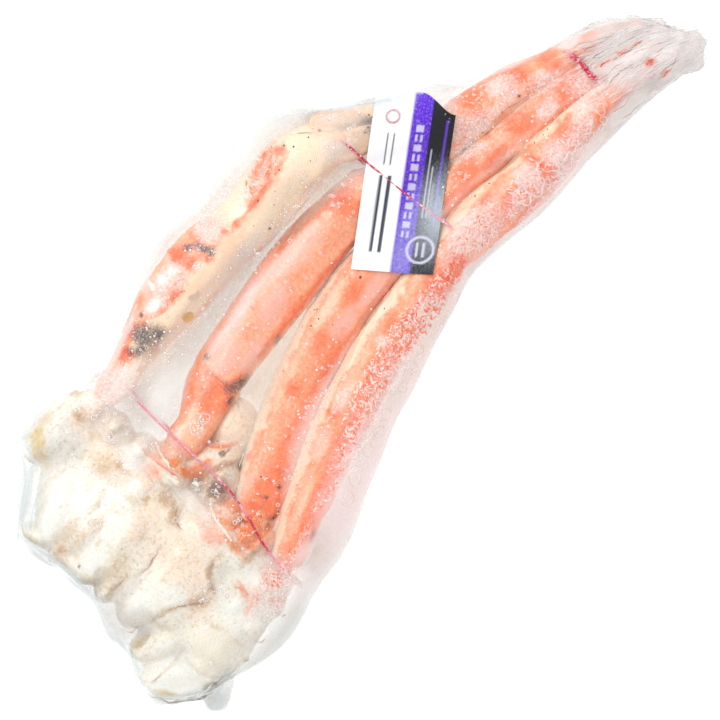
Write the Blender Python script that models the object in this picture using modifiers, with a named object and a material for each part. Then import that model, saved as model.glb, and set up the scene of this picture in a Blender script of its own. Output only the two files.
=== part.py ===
# Sealed clear pack of a frozen king crab leg cluster, lying on its flat back.
# One solid: the outer form of the film, drawn tight over a claw arm, three
# walking legs and the shoulder they grow from. Metres, +Z up, +X towards the
# leg tips, +Y towards the claw arm.
import math

import bmesh
import bpy
from mathutils import Vector
from mathutils import noise

mm = 0.001

# Whole pack
packLength = 419 * mm
tailStart = 150 * mm          # where the gathered film begins, along X
tailEnd = 205 * mm
foldDepth = 1.3 * mm          # depth of the gathered film's folds
foldPitch = 8.0 * mm          # distance between two folds
restDepth = 3.6 * mm          # how far the round limbs are pressed flat below

# Surface
voxelSize = 3.0 * mm
smoothRounds = 4
triangleGoal = 8200
unevenness = 1.8 * mm         # lumps of ice under the film
unevenPitch = 24 * mm

# Limbs: root point, heading in degrees, root radius, then each segment as
# (length, turn in degrees, radius at its far end), all lengths in mm.
limbs = {
    "clawArm": {
        "root": (-122, 49), "heading": 4, "radius": 22,
        "segments": ((26, 0, 17), (59, 9, 20.5), (30, -22, 20.5),
                     (35, 19, 22.5), (36, -42, 21), (50, -2, 18)),
    },
    "upperLeg": {
        "root": (-122, 2), "heading": 19, "radius": 21,
        "segments": ((48, 0, 17), (66, -13, 17), (64, -8, 17),
                     (51, -13, 15.5), (49, -6, 14), (43, -4, 11.5), (17, -22, 9.5)),
    },
    "middleLeg": {
        "root": (-126, -38), "heading": 16, "radius": 21,
        "segments": ((38, 0, 16), (52, 3, 15), (42, -10, 15),
                     (50, -13, 15), (51, -7, 14), (50, 1, 13), (42, -6, 10)),
    },
    "lowerLeg": {
        "root": (-134, -65.5), "heading": 1, "radius": 21.5,
        "segments": ((36, 0, 18.5), (48, 15, 17), (52, -2, 17),
                     (54, -1, 18.5), (49, -22, 18), (52, 4, 16), (44, -7, 13),
                     (14, -16, 8.5)),
    },
}

# Frozen water that fills the valleys between neighbouring limbs: the points
# along each valley as (x, y, radius).
valleys = {
    "clawToUpper": ((-116, 26, 18), (-40, 44, 16), (20, 44, 16), (80, 30, 15)),
    "upperToMiddle": ((-116, -16, 17), (-30, 8, 15), (60, 8, 14), (140, -14, 12)),
    "middleToLower": ((-112, -50, 17), (-40, -28, 15), (50, -14, 13), (150, -30, 12)),
    "tailFill": ((120, -5, 14), (196, -40, 10)),
}

# Lumps of the shoulder and the low fillings under it and under the legs:
# (x, y, half length, half width, half height, turn in degrees)
shoulderLumps = {
    "crownTop": (-143, 56, 23, 23, 22, 10),
    "crownSide": (-164, 35, 33, 27, 24, 38),
    "middleBack": (-160, 8, 33, 35, 27, 0),
    "middleLow": (-166, -27, 36, 31, 26, -12),
    "lowerEnd": (-174, -58, 38, 25, 23, -22),
    "lowerSide": (-146, -68, 37, 23.5, 21, 0),
    "inner": (-130, 22, 28, 32, 25, 0),
    "innerLow": (-128, -30, 28, 36, 25, 0),
    "filling": (-152, -8, 42, 74, 25, 0),
    "shoulderBelly": (-147, -4, 42, 71, 9, 0),
    "legBelly": (0, 8, 126, 46, 9, -6),
}

# Flat ears of welded film: (x, y, length, width, heading in degrees)
ears = {
    "lowerCorner": (-194, -60, 20, 30, 160),
    "seamCorner": (-177, -70, 26, 20, 219),
    "topCorner": (-180, 36, 18, 13, 145),
    "tailFin": (202, -50, 17, 11, 266),
}
earThickness = 6.5 * mm

partCollection = "king_crab_leg_pack"


def clearScene():
    for item in list(bpy.data.objects):
        bpy.data.objects.remove(item, do_unlink=True)
    for mesh in list(bpy.data.meshes):
        bpy.data.meshes.remove(mesh)


def filmMaterial():
    made = bpy.data.materials.new("film")
    made.use_nodes = True
    shader = made.node_tree.nodes["Principled BSDF"]
    shader.inputs["Base Color"].default_value = (0.93, 0.72, 0.60, 1.0)
    shader.inputs["Roughness"].default_value = 0.22
    made.diffuse_color = (0.93, 0.72, 0.60, 1.0)
    return made


def limbStations(limb):
    """Joint centres and radii of one limb, in metres."""
    x, y = limb["root"]
    heading = limb["heading"]
    stations = [(x * mm, y * mm, limb["radius"] * mm)]
    for length, turn, radius in limb["segments"]:
        heading += turn
        x += length * math.cos(math.radians(heading))
        y += length * math.sin(math.radians(heading))
        stations.append((x * mm, y * mm, radius * mm))
    return stations


def tubeMesh(name, stations):
    """A round limb through the stations, its underside just below z = 0."""
    curve = bpy.data.curves.new(name, "CURVE")
    curve.dimensions = "3D"
    curve.bevel_depth = 1.0
    curve.bevel_resolution = 6
    curve.use_fill_caps = True
    spline = curve.splines.new("BEZIER")
    spline.bezier_points.add(len(stations) - 1)
    spline.resolution_u = 8
    spline.radius_interpolation = "CARDINAL"
    for point, (x, y, radius) in zip(spline.bezier_points, stations):
        point.co = (x, y, radius - restDepth)
        point.radius = radius
        point.handle_left_type = "AUTO"
        point.handle_right_type = "AUTO"
    holder = bpy.data.objects.new(name, curve)
    bpy.context.scene.collection.objects.link(holder)
    bpy.context.view_layer.update()
    graph = bpy.context.evaluated_depsgraph_get()
    mesh = bpy.data.meshes.new_from_object(holder.evaluated_get(graph))
    mesh.transform(holder.matrix_world)
    bpy.data.objects.remove(holder, do_unlink=True)
    shell = bmesh.new()
    shell.from_mesh(mesh)
    bmesh.ops.remove_doubles(shell, verts=shell.verts, dist=0.00001)
    for x, y, radius in (stations[0], stations[-1]):
        addEllipsoid(shell, Vector((x, y, radius - restDepth)), (radius, radius, radius), 0.0)
    return shell, mesh


def addEllipsoid(shell, centre, halves, turn):
    made = bmesh.ops.create_icosphere(shell, subdivisions=3, radius=1.0)
    cosine = math.cos(math.radians(turn))
    sine = math.sin(math.radians(turn))
    for vertex in made["verts"]:
        x = vertex.co.x * halves[0]
        y = vertex.co.y * halves[1]
        z = vertex.co.z * halves[2]
        vertex.co = centre + Vector((x * cosine - y * sine, x * sine + y * cosine, z))


def addEar(shell, x, y, length, width, heading):
    """A short tapered flap of film that stands out flat from the edge."""
    made = bmesh.ops.create_cube(shell, size=1.0)
    cosine = math.cos(math.radians(heading))
    sine = math.sin(math.radians(heading))
    for vertex in made["verts"]:
        along = (vertex.co.x + 0.5) * length * mm
        narrowing = 1.0 if vertex.co.x < 0.0 else 0.55
        across = vertex.co.y * width * narrowing * mm
        height = 9.0 * mm + vertex.co.z * earThickness
        vertex.co = Vector((x * mm + along * cosine - across * sine,
                            y * mm + along * sine + across * cosine, height))


def buildBody():
    """All limbs, ice and lumps in one mesh, still as overlapping shells."""
    whole = bmesh.new()
    for name, limb in limbs.items():
        shell, mesh = tubeMesh(name, limbStations(limb))
        shell.to_mesh(mesh)
        shell.free()
        whole.from_mesh(mesh)
        bpy.data.meshes.remove(mesh)
    for name, points in valleys.items():
        shell, mesh = tubeMesh(name, [(x * mm, y * mm, radius * mm) for x, y, radius in points])
        shell.to_mesh(mesh)
        shell.free()
        whole.from_mesh(mesh)
        bpy.data.meshes.remove(mesh)
    for x, y, halfLength, halfWidth, halfHeight, turn in shoulderLumps.values():
        centre = Vector((x * mm, y * mm, halfHeight * mm - restDepth))
        addEllipsoid(whole, centre, (halfLength * mm, halfWidth * mm, halfHeight * mm), turn)
    for ear in ears.values():
        addEar(whole, *ear)
    bmesh.ops.recalc_face_normals(whole, faces=whole.faces)
    mesh = bpy.data.meshes.new("pack")
    whole.to_mesh(mesh)
    whole.free()
    body = bpy.data.objects.new("pack", mesh)
    bpy.context.scene.collection.objects.link(body)
    return body


def bake(body):
    """Replaces the object's mesh by the result of its modifiers."""
    bpy.context.view_layer.update()
    graph = bpy.context.evaluated_depsgraph_get()
    mesh = bpy.data.meshes.new_from_object(body.evaluated_get(graph))
    old = body.data
    body.modifiers.clear()
    body.data = mesh
    bpy.data.meshes.remove(old)
    mesh.name = "pack"


def fuse(body):
    """Turns the overlapping shells into one smooth closed skin."""
    fused = body.modifiers.new("fused", "REMESH")
    fused.mode = "VOXEL"
    fused.voxel_size = voxelSize
    fused.adaptivity = 0.0
    smoothed = body.modifiers.new("drawnTight", "SMOOTH")
    smoothed.factor = 0.5
    smoothed.iterations = smoothRounds
    bake(body)


def foldedAndUneven(body):
    """Long folds in the gathered tail, and low lumps of ice elsewhere."""
    mesh = body.data
    normals = [vertex.normal.copy() for vertex in mesh.vertices]
    for vertex, normal in zip(mesh.vertices, normals):
        place = vertex.co.copy()
        lump = noise.noise(place / unevenPitch) * unevenness
        gather = min(max((place.x - tailStart) / (tailEnd - tailStart), 0.0), 1.0)
        phase = 2.0 * math.pi * (place.y + 0.42 * place.x + 0.8 * place.z) / foldPitch
        fold = math.sin(phase) * foldDepth * gather
        vertex.co = place + normal * (lump * (1.0 - gather) + fold)
    mesh.update()


def thinOut(body):
    count = sum(len(face.vertices) - 2 for face in body.data.polygons)
    fewer = body.modifiers.new("fewer", "DECIMATE")
    fewer.ratio = min(1.0, triangleGoal / count)
    fewer.use_collapse_triangulate = True
    bake(body)


def pressFlat(body):
    """Cuts the underside off at z = 0, where the pack lies."""
    block = bpy.data.meshes.new("table")
    shell = bmesh.new()
    made = bmesh.ops.create_cube(shell, size=1.0)
    for vertex in made["verts"]:
        vertex.co.x *= 0.6
        vertex.co.y *= 0.4
        vertex.co.z = (vertex.co.z - 0.5) * 0.05
    shell.to_mesh(block)
    shell.free()
    table = bpy.data.objects.new("table", block)
    cutters = bpy.data.collections.new("cutters")
    bpy.context.scene.collection.children.link(cutters)
    cutters.objects.link(table)
    table.hide_render = True
    table.display_type = "WIRE"
    flat = body.modifiers.new("flatBack", "BOOLEAN")
    flat.operation = "DIFFERENCE"
    flat.solver = "EXACT"
    flat.object = table
    bake(body)
    bpy.data.objects.remove(table, do_unlink=True)
    bpy.data.collections.remove(cutters)


def settle(body):
    """Scales to the pack's length and centres the outline on the origin."""
    xs = [vertex.co.x for vertex in body.data.vertices]
    ys = [vertex.co.y for vertex in body.data.vertices]
    middle = Vector(((min(xs) + max(xs)) / 2, (min(ys) + max(ys)) / 2, 0.0))
    factor = packLength / (max(xs) - min(xs))
    for vertex in body.data.vertices:
        vertex.co = (vertex.co - middle) * factor
    shell = bmesh.new()
    shell.from_mesh(body.data)
    bmesh.ops.remove_doubles(shell, verts=shell.verts, dist=0.00005)
    bmesh.ops.recalc_face_normals(shell, faces=shell.faces)
    shell.to_mesh(body.data)
    shell.free()


clearScene()
body = buildBody()
fuse(body)
foldedAndUneven(body)
thinOut(body)
pressFlat(body)
settle(body)
body.data.materials.clear()
body.data.materials.append(filmMaterial())
group = bpy.data.collections.new(partCollection)
bpy.context.scene.collection.children.link(group)
for holder in list(body.users_collection):
    holder.objects.unlink(body)
group.objects.link(body)
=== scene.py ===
import math

import bmesh
import bpy
import numpy as np
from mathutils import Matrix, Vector
from mathutils.bvhtree import BVHTree


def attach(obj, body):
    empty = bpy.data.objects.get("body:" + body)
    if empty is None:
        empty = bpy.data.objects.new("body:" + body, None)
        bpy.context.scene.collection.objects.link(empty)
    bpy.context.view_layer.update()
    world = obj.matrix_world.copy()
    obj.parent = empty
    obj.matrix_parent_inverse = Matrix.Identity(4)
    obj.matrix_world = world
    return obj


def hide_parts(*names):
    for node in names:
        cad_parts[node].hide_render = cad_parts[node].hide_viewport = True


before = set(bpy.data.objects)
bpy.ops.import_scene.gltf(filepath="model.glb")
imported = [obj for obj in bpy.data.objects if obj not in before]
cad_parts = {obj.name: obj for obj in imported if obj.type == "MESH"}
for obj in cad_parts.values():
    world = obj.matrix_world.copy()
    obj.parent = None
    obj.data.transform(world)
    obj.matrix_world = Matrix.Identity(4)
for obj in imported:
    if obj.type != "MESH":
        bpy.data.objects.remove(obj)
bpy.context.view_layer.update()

# Frozen king crab leg cluster in clear shrink film, as the frame lays it:
# +X towards the leg tips, +Y towards the claw arm, +Z up. Places in the
# dictionaries below are in mm from the middle of the pack's flat back.

mm = 0.001
up = np.array([0.0, 0.0, 1.0])


# ---- numbers and noise

def linear(red, green, blue):
    # A colour as a painter mixes it, 0 to 255, turned into light values.
    made = []
    for part in (red, green, blue):
        part = part / 255.0
        made.append(part / 12.92 if part <= 0.04045 else ((part + 0.055) / 1.055) ** 2.4)
    return (made[0], made[1], made[2], 1.0)


def cellValues(cells, seed):
    mixed = cells[:, 0] * 374761393 + cells[:, 1] * 668265263 + cells[:, 2] * 1274126177
    mixed = (mixed + seed * 974634777) & 0xffffffff
    mixed = ((mixed ^ (mixed >> 13)) * 1103515245) & 0xffffffff
    return ((mixed ^ (mixed >> 16)) & 0xffff) / 32767.5 - 1.0


def softNoise(places, pitch, seed=0):
    # Smooth noise from -1 to 1 with lumps about one pitch across.
    cell = np.asarray(places, float) / pitch
    low = np.floor(cell).astype(np.int64)
    part = cell - low
    part = part * part * (3.0 - 2.0 * part)
    total = np.zeros(len(cell))
    for corner in range(8):
        step = np.array([corner & 1, corner >> 1 & 1, corner >> 2 & 1])
        weight = np.where(step == 1, part, 1.0 - part).prod(axis=1)
        total += weight * cellValues(low + step, seed)
    return total


def roughNoise(places, pitch, layers=3, seed=0):
    total = np.zeros(len(places))
    size = 1.0
    for layer in range(layers):
        total += softNoise(places, pitch * size, seed + layer) * size
        size *= 0.5
    return total / (2.0 - 2.0 * size)


def rise(values, start, end):
    part = np.clip((values - start) / (end - start), 0.0, 1.0)
    return part * part * (3.0 - 2.0 * part)


def throughPoints(rows, step):
    # A smooth row of stations through given ones, about one step apart.
    rows = np.array(rows, float)
    chord = np.r_[0.0, np.cumsum(np.hypot(*np.diff(rows[:, :2], axis=0).T))]
    slopes = np.gradient(rows, chord, axis=0)
    at = np.linspace(0.0, chord[-1], max(int(chord[-1] / step), 3))
    index = np.clip(np.searchsorted(chord, at, "right") - 1, 0, len(rows) - 2)
    span = (chord[index + 1] - chord[index])[:, None]
    t = (at - chord[index])[:, None] / span
    made = (rows[index] * (1 + 2 * t) * (1 - t) ** 2 + slopes[index] * span * t * (1 - t) ** 2
            + rows[index + 1] * t * t * (3 - 2 * t) + slopes[index + 1] * span * t * t * (t - 1))
    return at, made


# ---- meshes

def newPiece(name, points, faces, smooth=True):
    mesh = bpy.data.meshes.new(name)
    mesh.from_pydata(np.asarray(points).tolist(), [], faces)
    mesh.polygons.foreach_set("use_smooth", [smooth] * len(mesh.polygons))
    piece = bpy.data.objects.new(name, mesh)
    bpy.context.scene.collection.objects.link(piece)
    return piece


def pointsOf(piece):
    flat = np.empty(len(piece.data.vertices) * 3, np.float32)
    piece.data.vertices.foreach_get("co", flat)
    return flat.reshape(-1, 3).astype(float)


def normalsOf(piece):
    flat = np.empty(len(piece.data.vertices) * 3, np.float32)
    piece.data.vertices.foreach_get("normal", flat)
    return flat.reshape(-1, 3).astype(float)


def setPoints(piece, points):
    piece.data.vertices.foreach_set("co", points.astype(np.float32).ravel())
    piece.data.update()


def mark(piece, name, values):
    # Keeps a value for each point, which a material reads by its name.
    made = piece.data.attributes.new(name, "FLOAT", "POINT")
    made.data.foreach_set("value", np.asarray(values, np.float32))


def bake(piece):
    bpy.context.view_layer.update()
    graph = bpy.context.evaluated_depsgraph_get()
    mesh = bpy.data.meshes.new_from_object(piece.evaluated_get(graph))
    old = piece.data
    piece.modifiers.clear()
    piece.data = mesh
    bpy.data.meshes.remove(old)
    mesh.polygons.foreach_set("use_smooth", [True] * len(mesh.polygons))


def fuse(piece, voxel, rounds):
    # One closed skin over overlapping shells, evened out by smoothing.
    skin = piece.modifiers.new("skin", "REMESH")
    skin.mode = "VOXEL"
    skin.voxel_size = voxel
    soft = piece.modifiers.new("soft", "SMOOTH")
    soft.factor = 0.5
    soft.iterations = rounds
    bake(piece)


def treeOf(piece):
    bpy.context.view_layer.update()
    return BVHTree.FromObject(piece, bpy.context.evaluated_depsgraph_get())


def topHeights(tree, places):
    # Height in mm of the surface above each place (x, y in mm).
    heights = []
    for x, y in places:
        hit = tree.ray_cast(Vector((x * mm, y * mm, 0.2)), Vector((0, 0, -1)))[0]
        heights.append(hit.z / mm if hit else 0.0)
    return np.array(heights)


def keepUnder(points, tree, cover):
    # Moves in whatever is outside the surface or nearer to it than the cover.
    moved = points.copy()
    for index, point in enumerate(points):
        place, normal, face, gap = tree.find_nearest(point)
        depth = (place - Vector(point)).dot(normal)
        if depth < cover:
            moved[index] = place - normal * cover
    return moved


def spotMask(places, spots, wander=1.2):
    # 1 in the middle of any spot, 0.5 on its edge, 0 well outside it. A spot
    # is (x, y, half length, half width, turn in degrees).
    total = np.zeros(len(places))
    flat = places[:, :2] / mm
    spread = np.c_[flat, np.zeros(len(flat))]
    flat = flat + wander * np.stack([roughNoise(spread, 7.0, 3, 201), roughNoise(spread, 7.0, 3, 207)], 1)
    for x, y, long, wide, turn in spots:
        dx = flat[:, 0] - x
        dy = flat[:, 1] - y
        c = math.cos(math.radians(turn))
        s = math.sin(math.radians(turn))
        reach = np.hypot((dx * c + dy * s) / long, (dy * c - dx * s) / wide)
        total = np.maximum(total, np.clip(1.5 - reach, 0.0, 1.0))
    return total


def lineMask(places, lines):
    # The same round thin lines, each a half width and then its points.
    total = np.zeros(len(places))
    flat = places[:, :2] / mm
    for half, line in lines:
        gap = np.full(len(flat), 1e9)
        for start, end in zip(line[:-1], line[1:]):
            start = np.array(start, float)
            way = np.array(end, float) - start
            part = np.clip(((flat - start) @ way) / (way @ way), 0.0, 1.0)
            gap = np.minimum(gap, np.linalg.norm(flat - start - part[:, None] * way, axis=1))
        total = np.maximum(total, np.clip(1.5 - gap / half, 0.0, 1.0))
    return total


def shadeOf(points, normals, tree, reach, rays, seed):
    # How much of the open sky above each point its neighbours take away.
    chance = np.random.default_rng(seed)
    ways = chance.normal(size=(rays, 3))
    ways /= np.linalg.norm(ways, axis=1)[:, None]
    shade = np.zeros(len(points))
    starts = points + normals * (0.25 * mm)
    for way in ways:
        facing = normals + way
        facing /= np.linalg.norm(facing, axis=1)[:, None] + 1e-9
        hits = [tree.ray_cast(start, turn, reach)[0] is not None
                for start, turn in zip(starts.tolist(), facing.tolist())]
        shade += np.array(hits, float)
    return shade / rays


def finishPiece(piece, material):
    piece.data.materials.clear()
    piece.data.materials.append(material)
    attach(piece, "root")
    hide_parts("pack")
    return piece


# ---- nodes

def addNode(tree, kind, inputs=None, **settings):
    node = tree.nodes.new(kind)
    for key, value in settings.items():
        setattr(node, key, value)
    for key, value in (inputs or {}).items():
        if isinstance(value, bpy.types.NodeSocket):
            tree.links.new(value, node.inputs[key])
        else:
            node.inputs[key].default_value = value
    return node


def newGroup(name, inputs, outputs):
    tree = bpy.data.node_groups.new(name, "ShaderNodeTree")
    for label, value in inputs:
        socket = tree.interface.new_socket(name=label, in_out="INPUT", socket_type="NodeSocketFloat")
        socket.default_value = value
    for label, kind in outputs:
        tree.interface.new_socket(name=label, in_out="OUTPUT", socket_type=kind)
    return tree, tree.nodes.new("NodeGroupInput"), tree.nodes.new("NodeGroupOutput")


def useGroup(tree, group, inputs):
    node = tree.nodes.new("ShaderNodeGroup")
    node.node_tree = group
    for key, value in inputs.items():
        if isinstance(value, bpy.types.NodeSocket):
            tree.links.new(value, node.inputs[key])
        else:
            node.inputs[key].default_value = value
    return node


def math2(tree, operation, a, b=0.0, clamp=False):
    node = addNode(tree, "ShaderNodeMath", {0: a, 1: b}, operation=operation, use_clamp=clamp)
    return node.outputs[0]


def mixColour(tree, factor, a, b, blend="MIX"):
    node = addNode(tree, "ShaderNodeMix", {0: factor, 6: a, 7: b},
                   data_type="RGBA", blend_type=blend)
    return node.outputs[2]


def attributeOf(tree, name):
    return addNode(tree, "ShaderNodeAttribute", attribute_name=name).outputs["Fac"]


def noiseOf(tree, scale, detail=3.0, roughness=0.55, stretch=None):
    place = addNode(tree, "ShaderNodeTexCoord").outputs["Object"]
    if stretch:
        place = addNode(tree, "ShaderNodeMapping",
                        {"Vector": place, "Scale": stretch[0], "Rotation": stretch[1]}).outputs[0]
    node = addNode(tree, "ShaderNodeTexNoise",
                   {"Vector": place, "Scale": scale, "Detail": detail, "Roughness": roughness})
    return node.outputs["Fac"]


def cellsOf(tree, scale, feature="F1"):
    place = addNode(tree, "ShaderNodeTexCoord").outputs["Object"]
    node = addNode(tree, "ShaderNodeTexVoronoi", {"Vector": place, "Scale": scale}, feature=feature)
    return node


# A soft mask with its edge broken up by noise.
def raggedGroup():
    tree, start, end = newGroup(
        "raggedEdge",
        (("Mask", 0.0), ("Scale", 400.0), ("Raggedness", 0.5), ("Sharpness", 4.0)),
        (("Mask", "NodeSocketFloat"),))
    place = addNode(tree, "ShaderNodeTexCoord").outputs["Object"]
    noise = addNode(tree, "ShaderNodeTexNoise",
                    {"Vector": place, "Scale": start.outputs["Scale"], "Detail": 7.0,
                     "Roughness": 0.7}).outputs["Fac"]
    shift = math2(tree, "MULTIPLY", math2(tree, "SUBTRACT", noise, 0.5), start.outputs["Raggedness"])
    moved = math2(tree, "SUBTRACT", math2(tree, "ADD", start.outputs["Mask"], shift), 0.5)
    sharp = math2(tree, "MULTIPLY", moved, start.outputs["Sharpness"])
    within = math2(tree, "MULTIPLY", start.outputs["Mask"], 5.0, clamp=True)
    result = math2(tree, "MULTIPLY", math2(tree, "ADD", sharp, 0.5, clamp=True), within)
    tree.links.new(result, end.inputs["Mask"])
    return tree


# Small round specks, where Share is how many of the cells hold one.
def speckGroup():
    tree, start, end = newGroup(
        "specks",
        (("Scale", 300.0), ("Size", 0.25), ("Share", 0.3)),
        (("Mask", "NodeSocketFloat"),))
    place = addNode(tree, "ShaderNodeTexCoord").outputs["Object"]
    cells = addNode(tree, "ShaderNodeTexVoronoi",
                    {"Vector": place, "Scale": start.outputs["Scale"]}, feature="F1")
    inside = math2(tree, "LESS_THAN", cells.outputs["Distance"], start.outputs["Size"])
    split = addNode(tree, "ShaderNodeSeparateColor", {0: cells.outputs["Color"]})
    chosen = math2(tree, "LESS_THAN", split.outputs[0], start.outputs["Share"])
    tree.links.new(math2(tree, "MULTIPLY", inside, chosen), end.inputs["Mask"])
    return tree


ragged = raggedGroup()
specks = speckGroup()


def raggedMask(tree, name, scale=400.0, raggedness=0.5, sharpness=4.0):
    return useGroup(tree, ragged, {"Mask": attributeOf(tree, name), "Scale": scale,
                                   "Raggedness": raggedness, "Sharpness": sharpness}).outputs[0]


def speckMask(tree, scale, size, share):
    return useGroup(tree, specks, {"Scale": scale, "Size": size, "Share": share}).outputs[0]


def newMaterial(name):
    material = bpy.data.materials.new(name)
    material.use_nodes = True
    tree = material.node_tree
    return material, tree, tree.nodes["Principled BSDF"]


def bumpInto(tree, shader, height, strength, distance):
    bump = addNode(tree, "ShaderNodeBump",
                   {"Height": height, "Strength": strength, "Distance": distance})
    tree.links.new(bump.outputs["Normal"], shader.inputs["Normal"])


# ---- the pack's own form

formLook = {
    "voxel": 1.42 * mm,
    "smoothing": 11,
    "kept": (0.5, 1.6),           # mm off the true form from which it is drawn back to it
}

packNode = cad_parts["pack"]
skin = bpy.data.objects.new("skin", packNode.data.copy())
bpy.context.scene.collection.objects.link(skin)
trueTree = treeOf(skin)
fuse(skin, formLook["voxel"], formLook["smoothing"])
flowed = pointsOf(skin)
for index, point in enumerate(flowed.tolist()):
    place, normal, face, gap = trueTree.find_nearest(point)
    low, high = formLook["kept"]
    share = min(max((gap / mm - low) / (high - low), 0.0), 1.0)
    flowed[index] = Vector(point).lerp(place, 0.9 * share)
setPoints(skin, flowed)
skinTree = treeOf(skin)
print("form: skin of", len(skin.data.vertices), "points")


# ---- limbs

limbLook = {
    "step": 0.9,                  # distance between rings of points
    "sides": 88,
    "roundness": 2.35,            # 2 is an ellipse, more is squarer
    "endRound": 9.0,
    "cover": 1.5,                 # ice over the shell
    "strength": {"deep": 0.88, "dark": 0.85, "brickAndShade": 0.9},
}
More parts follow.
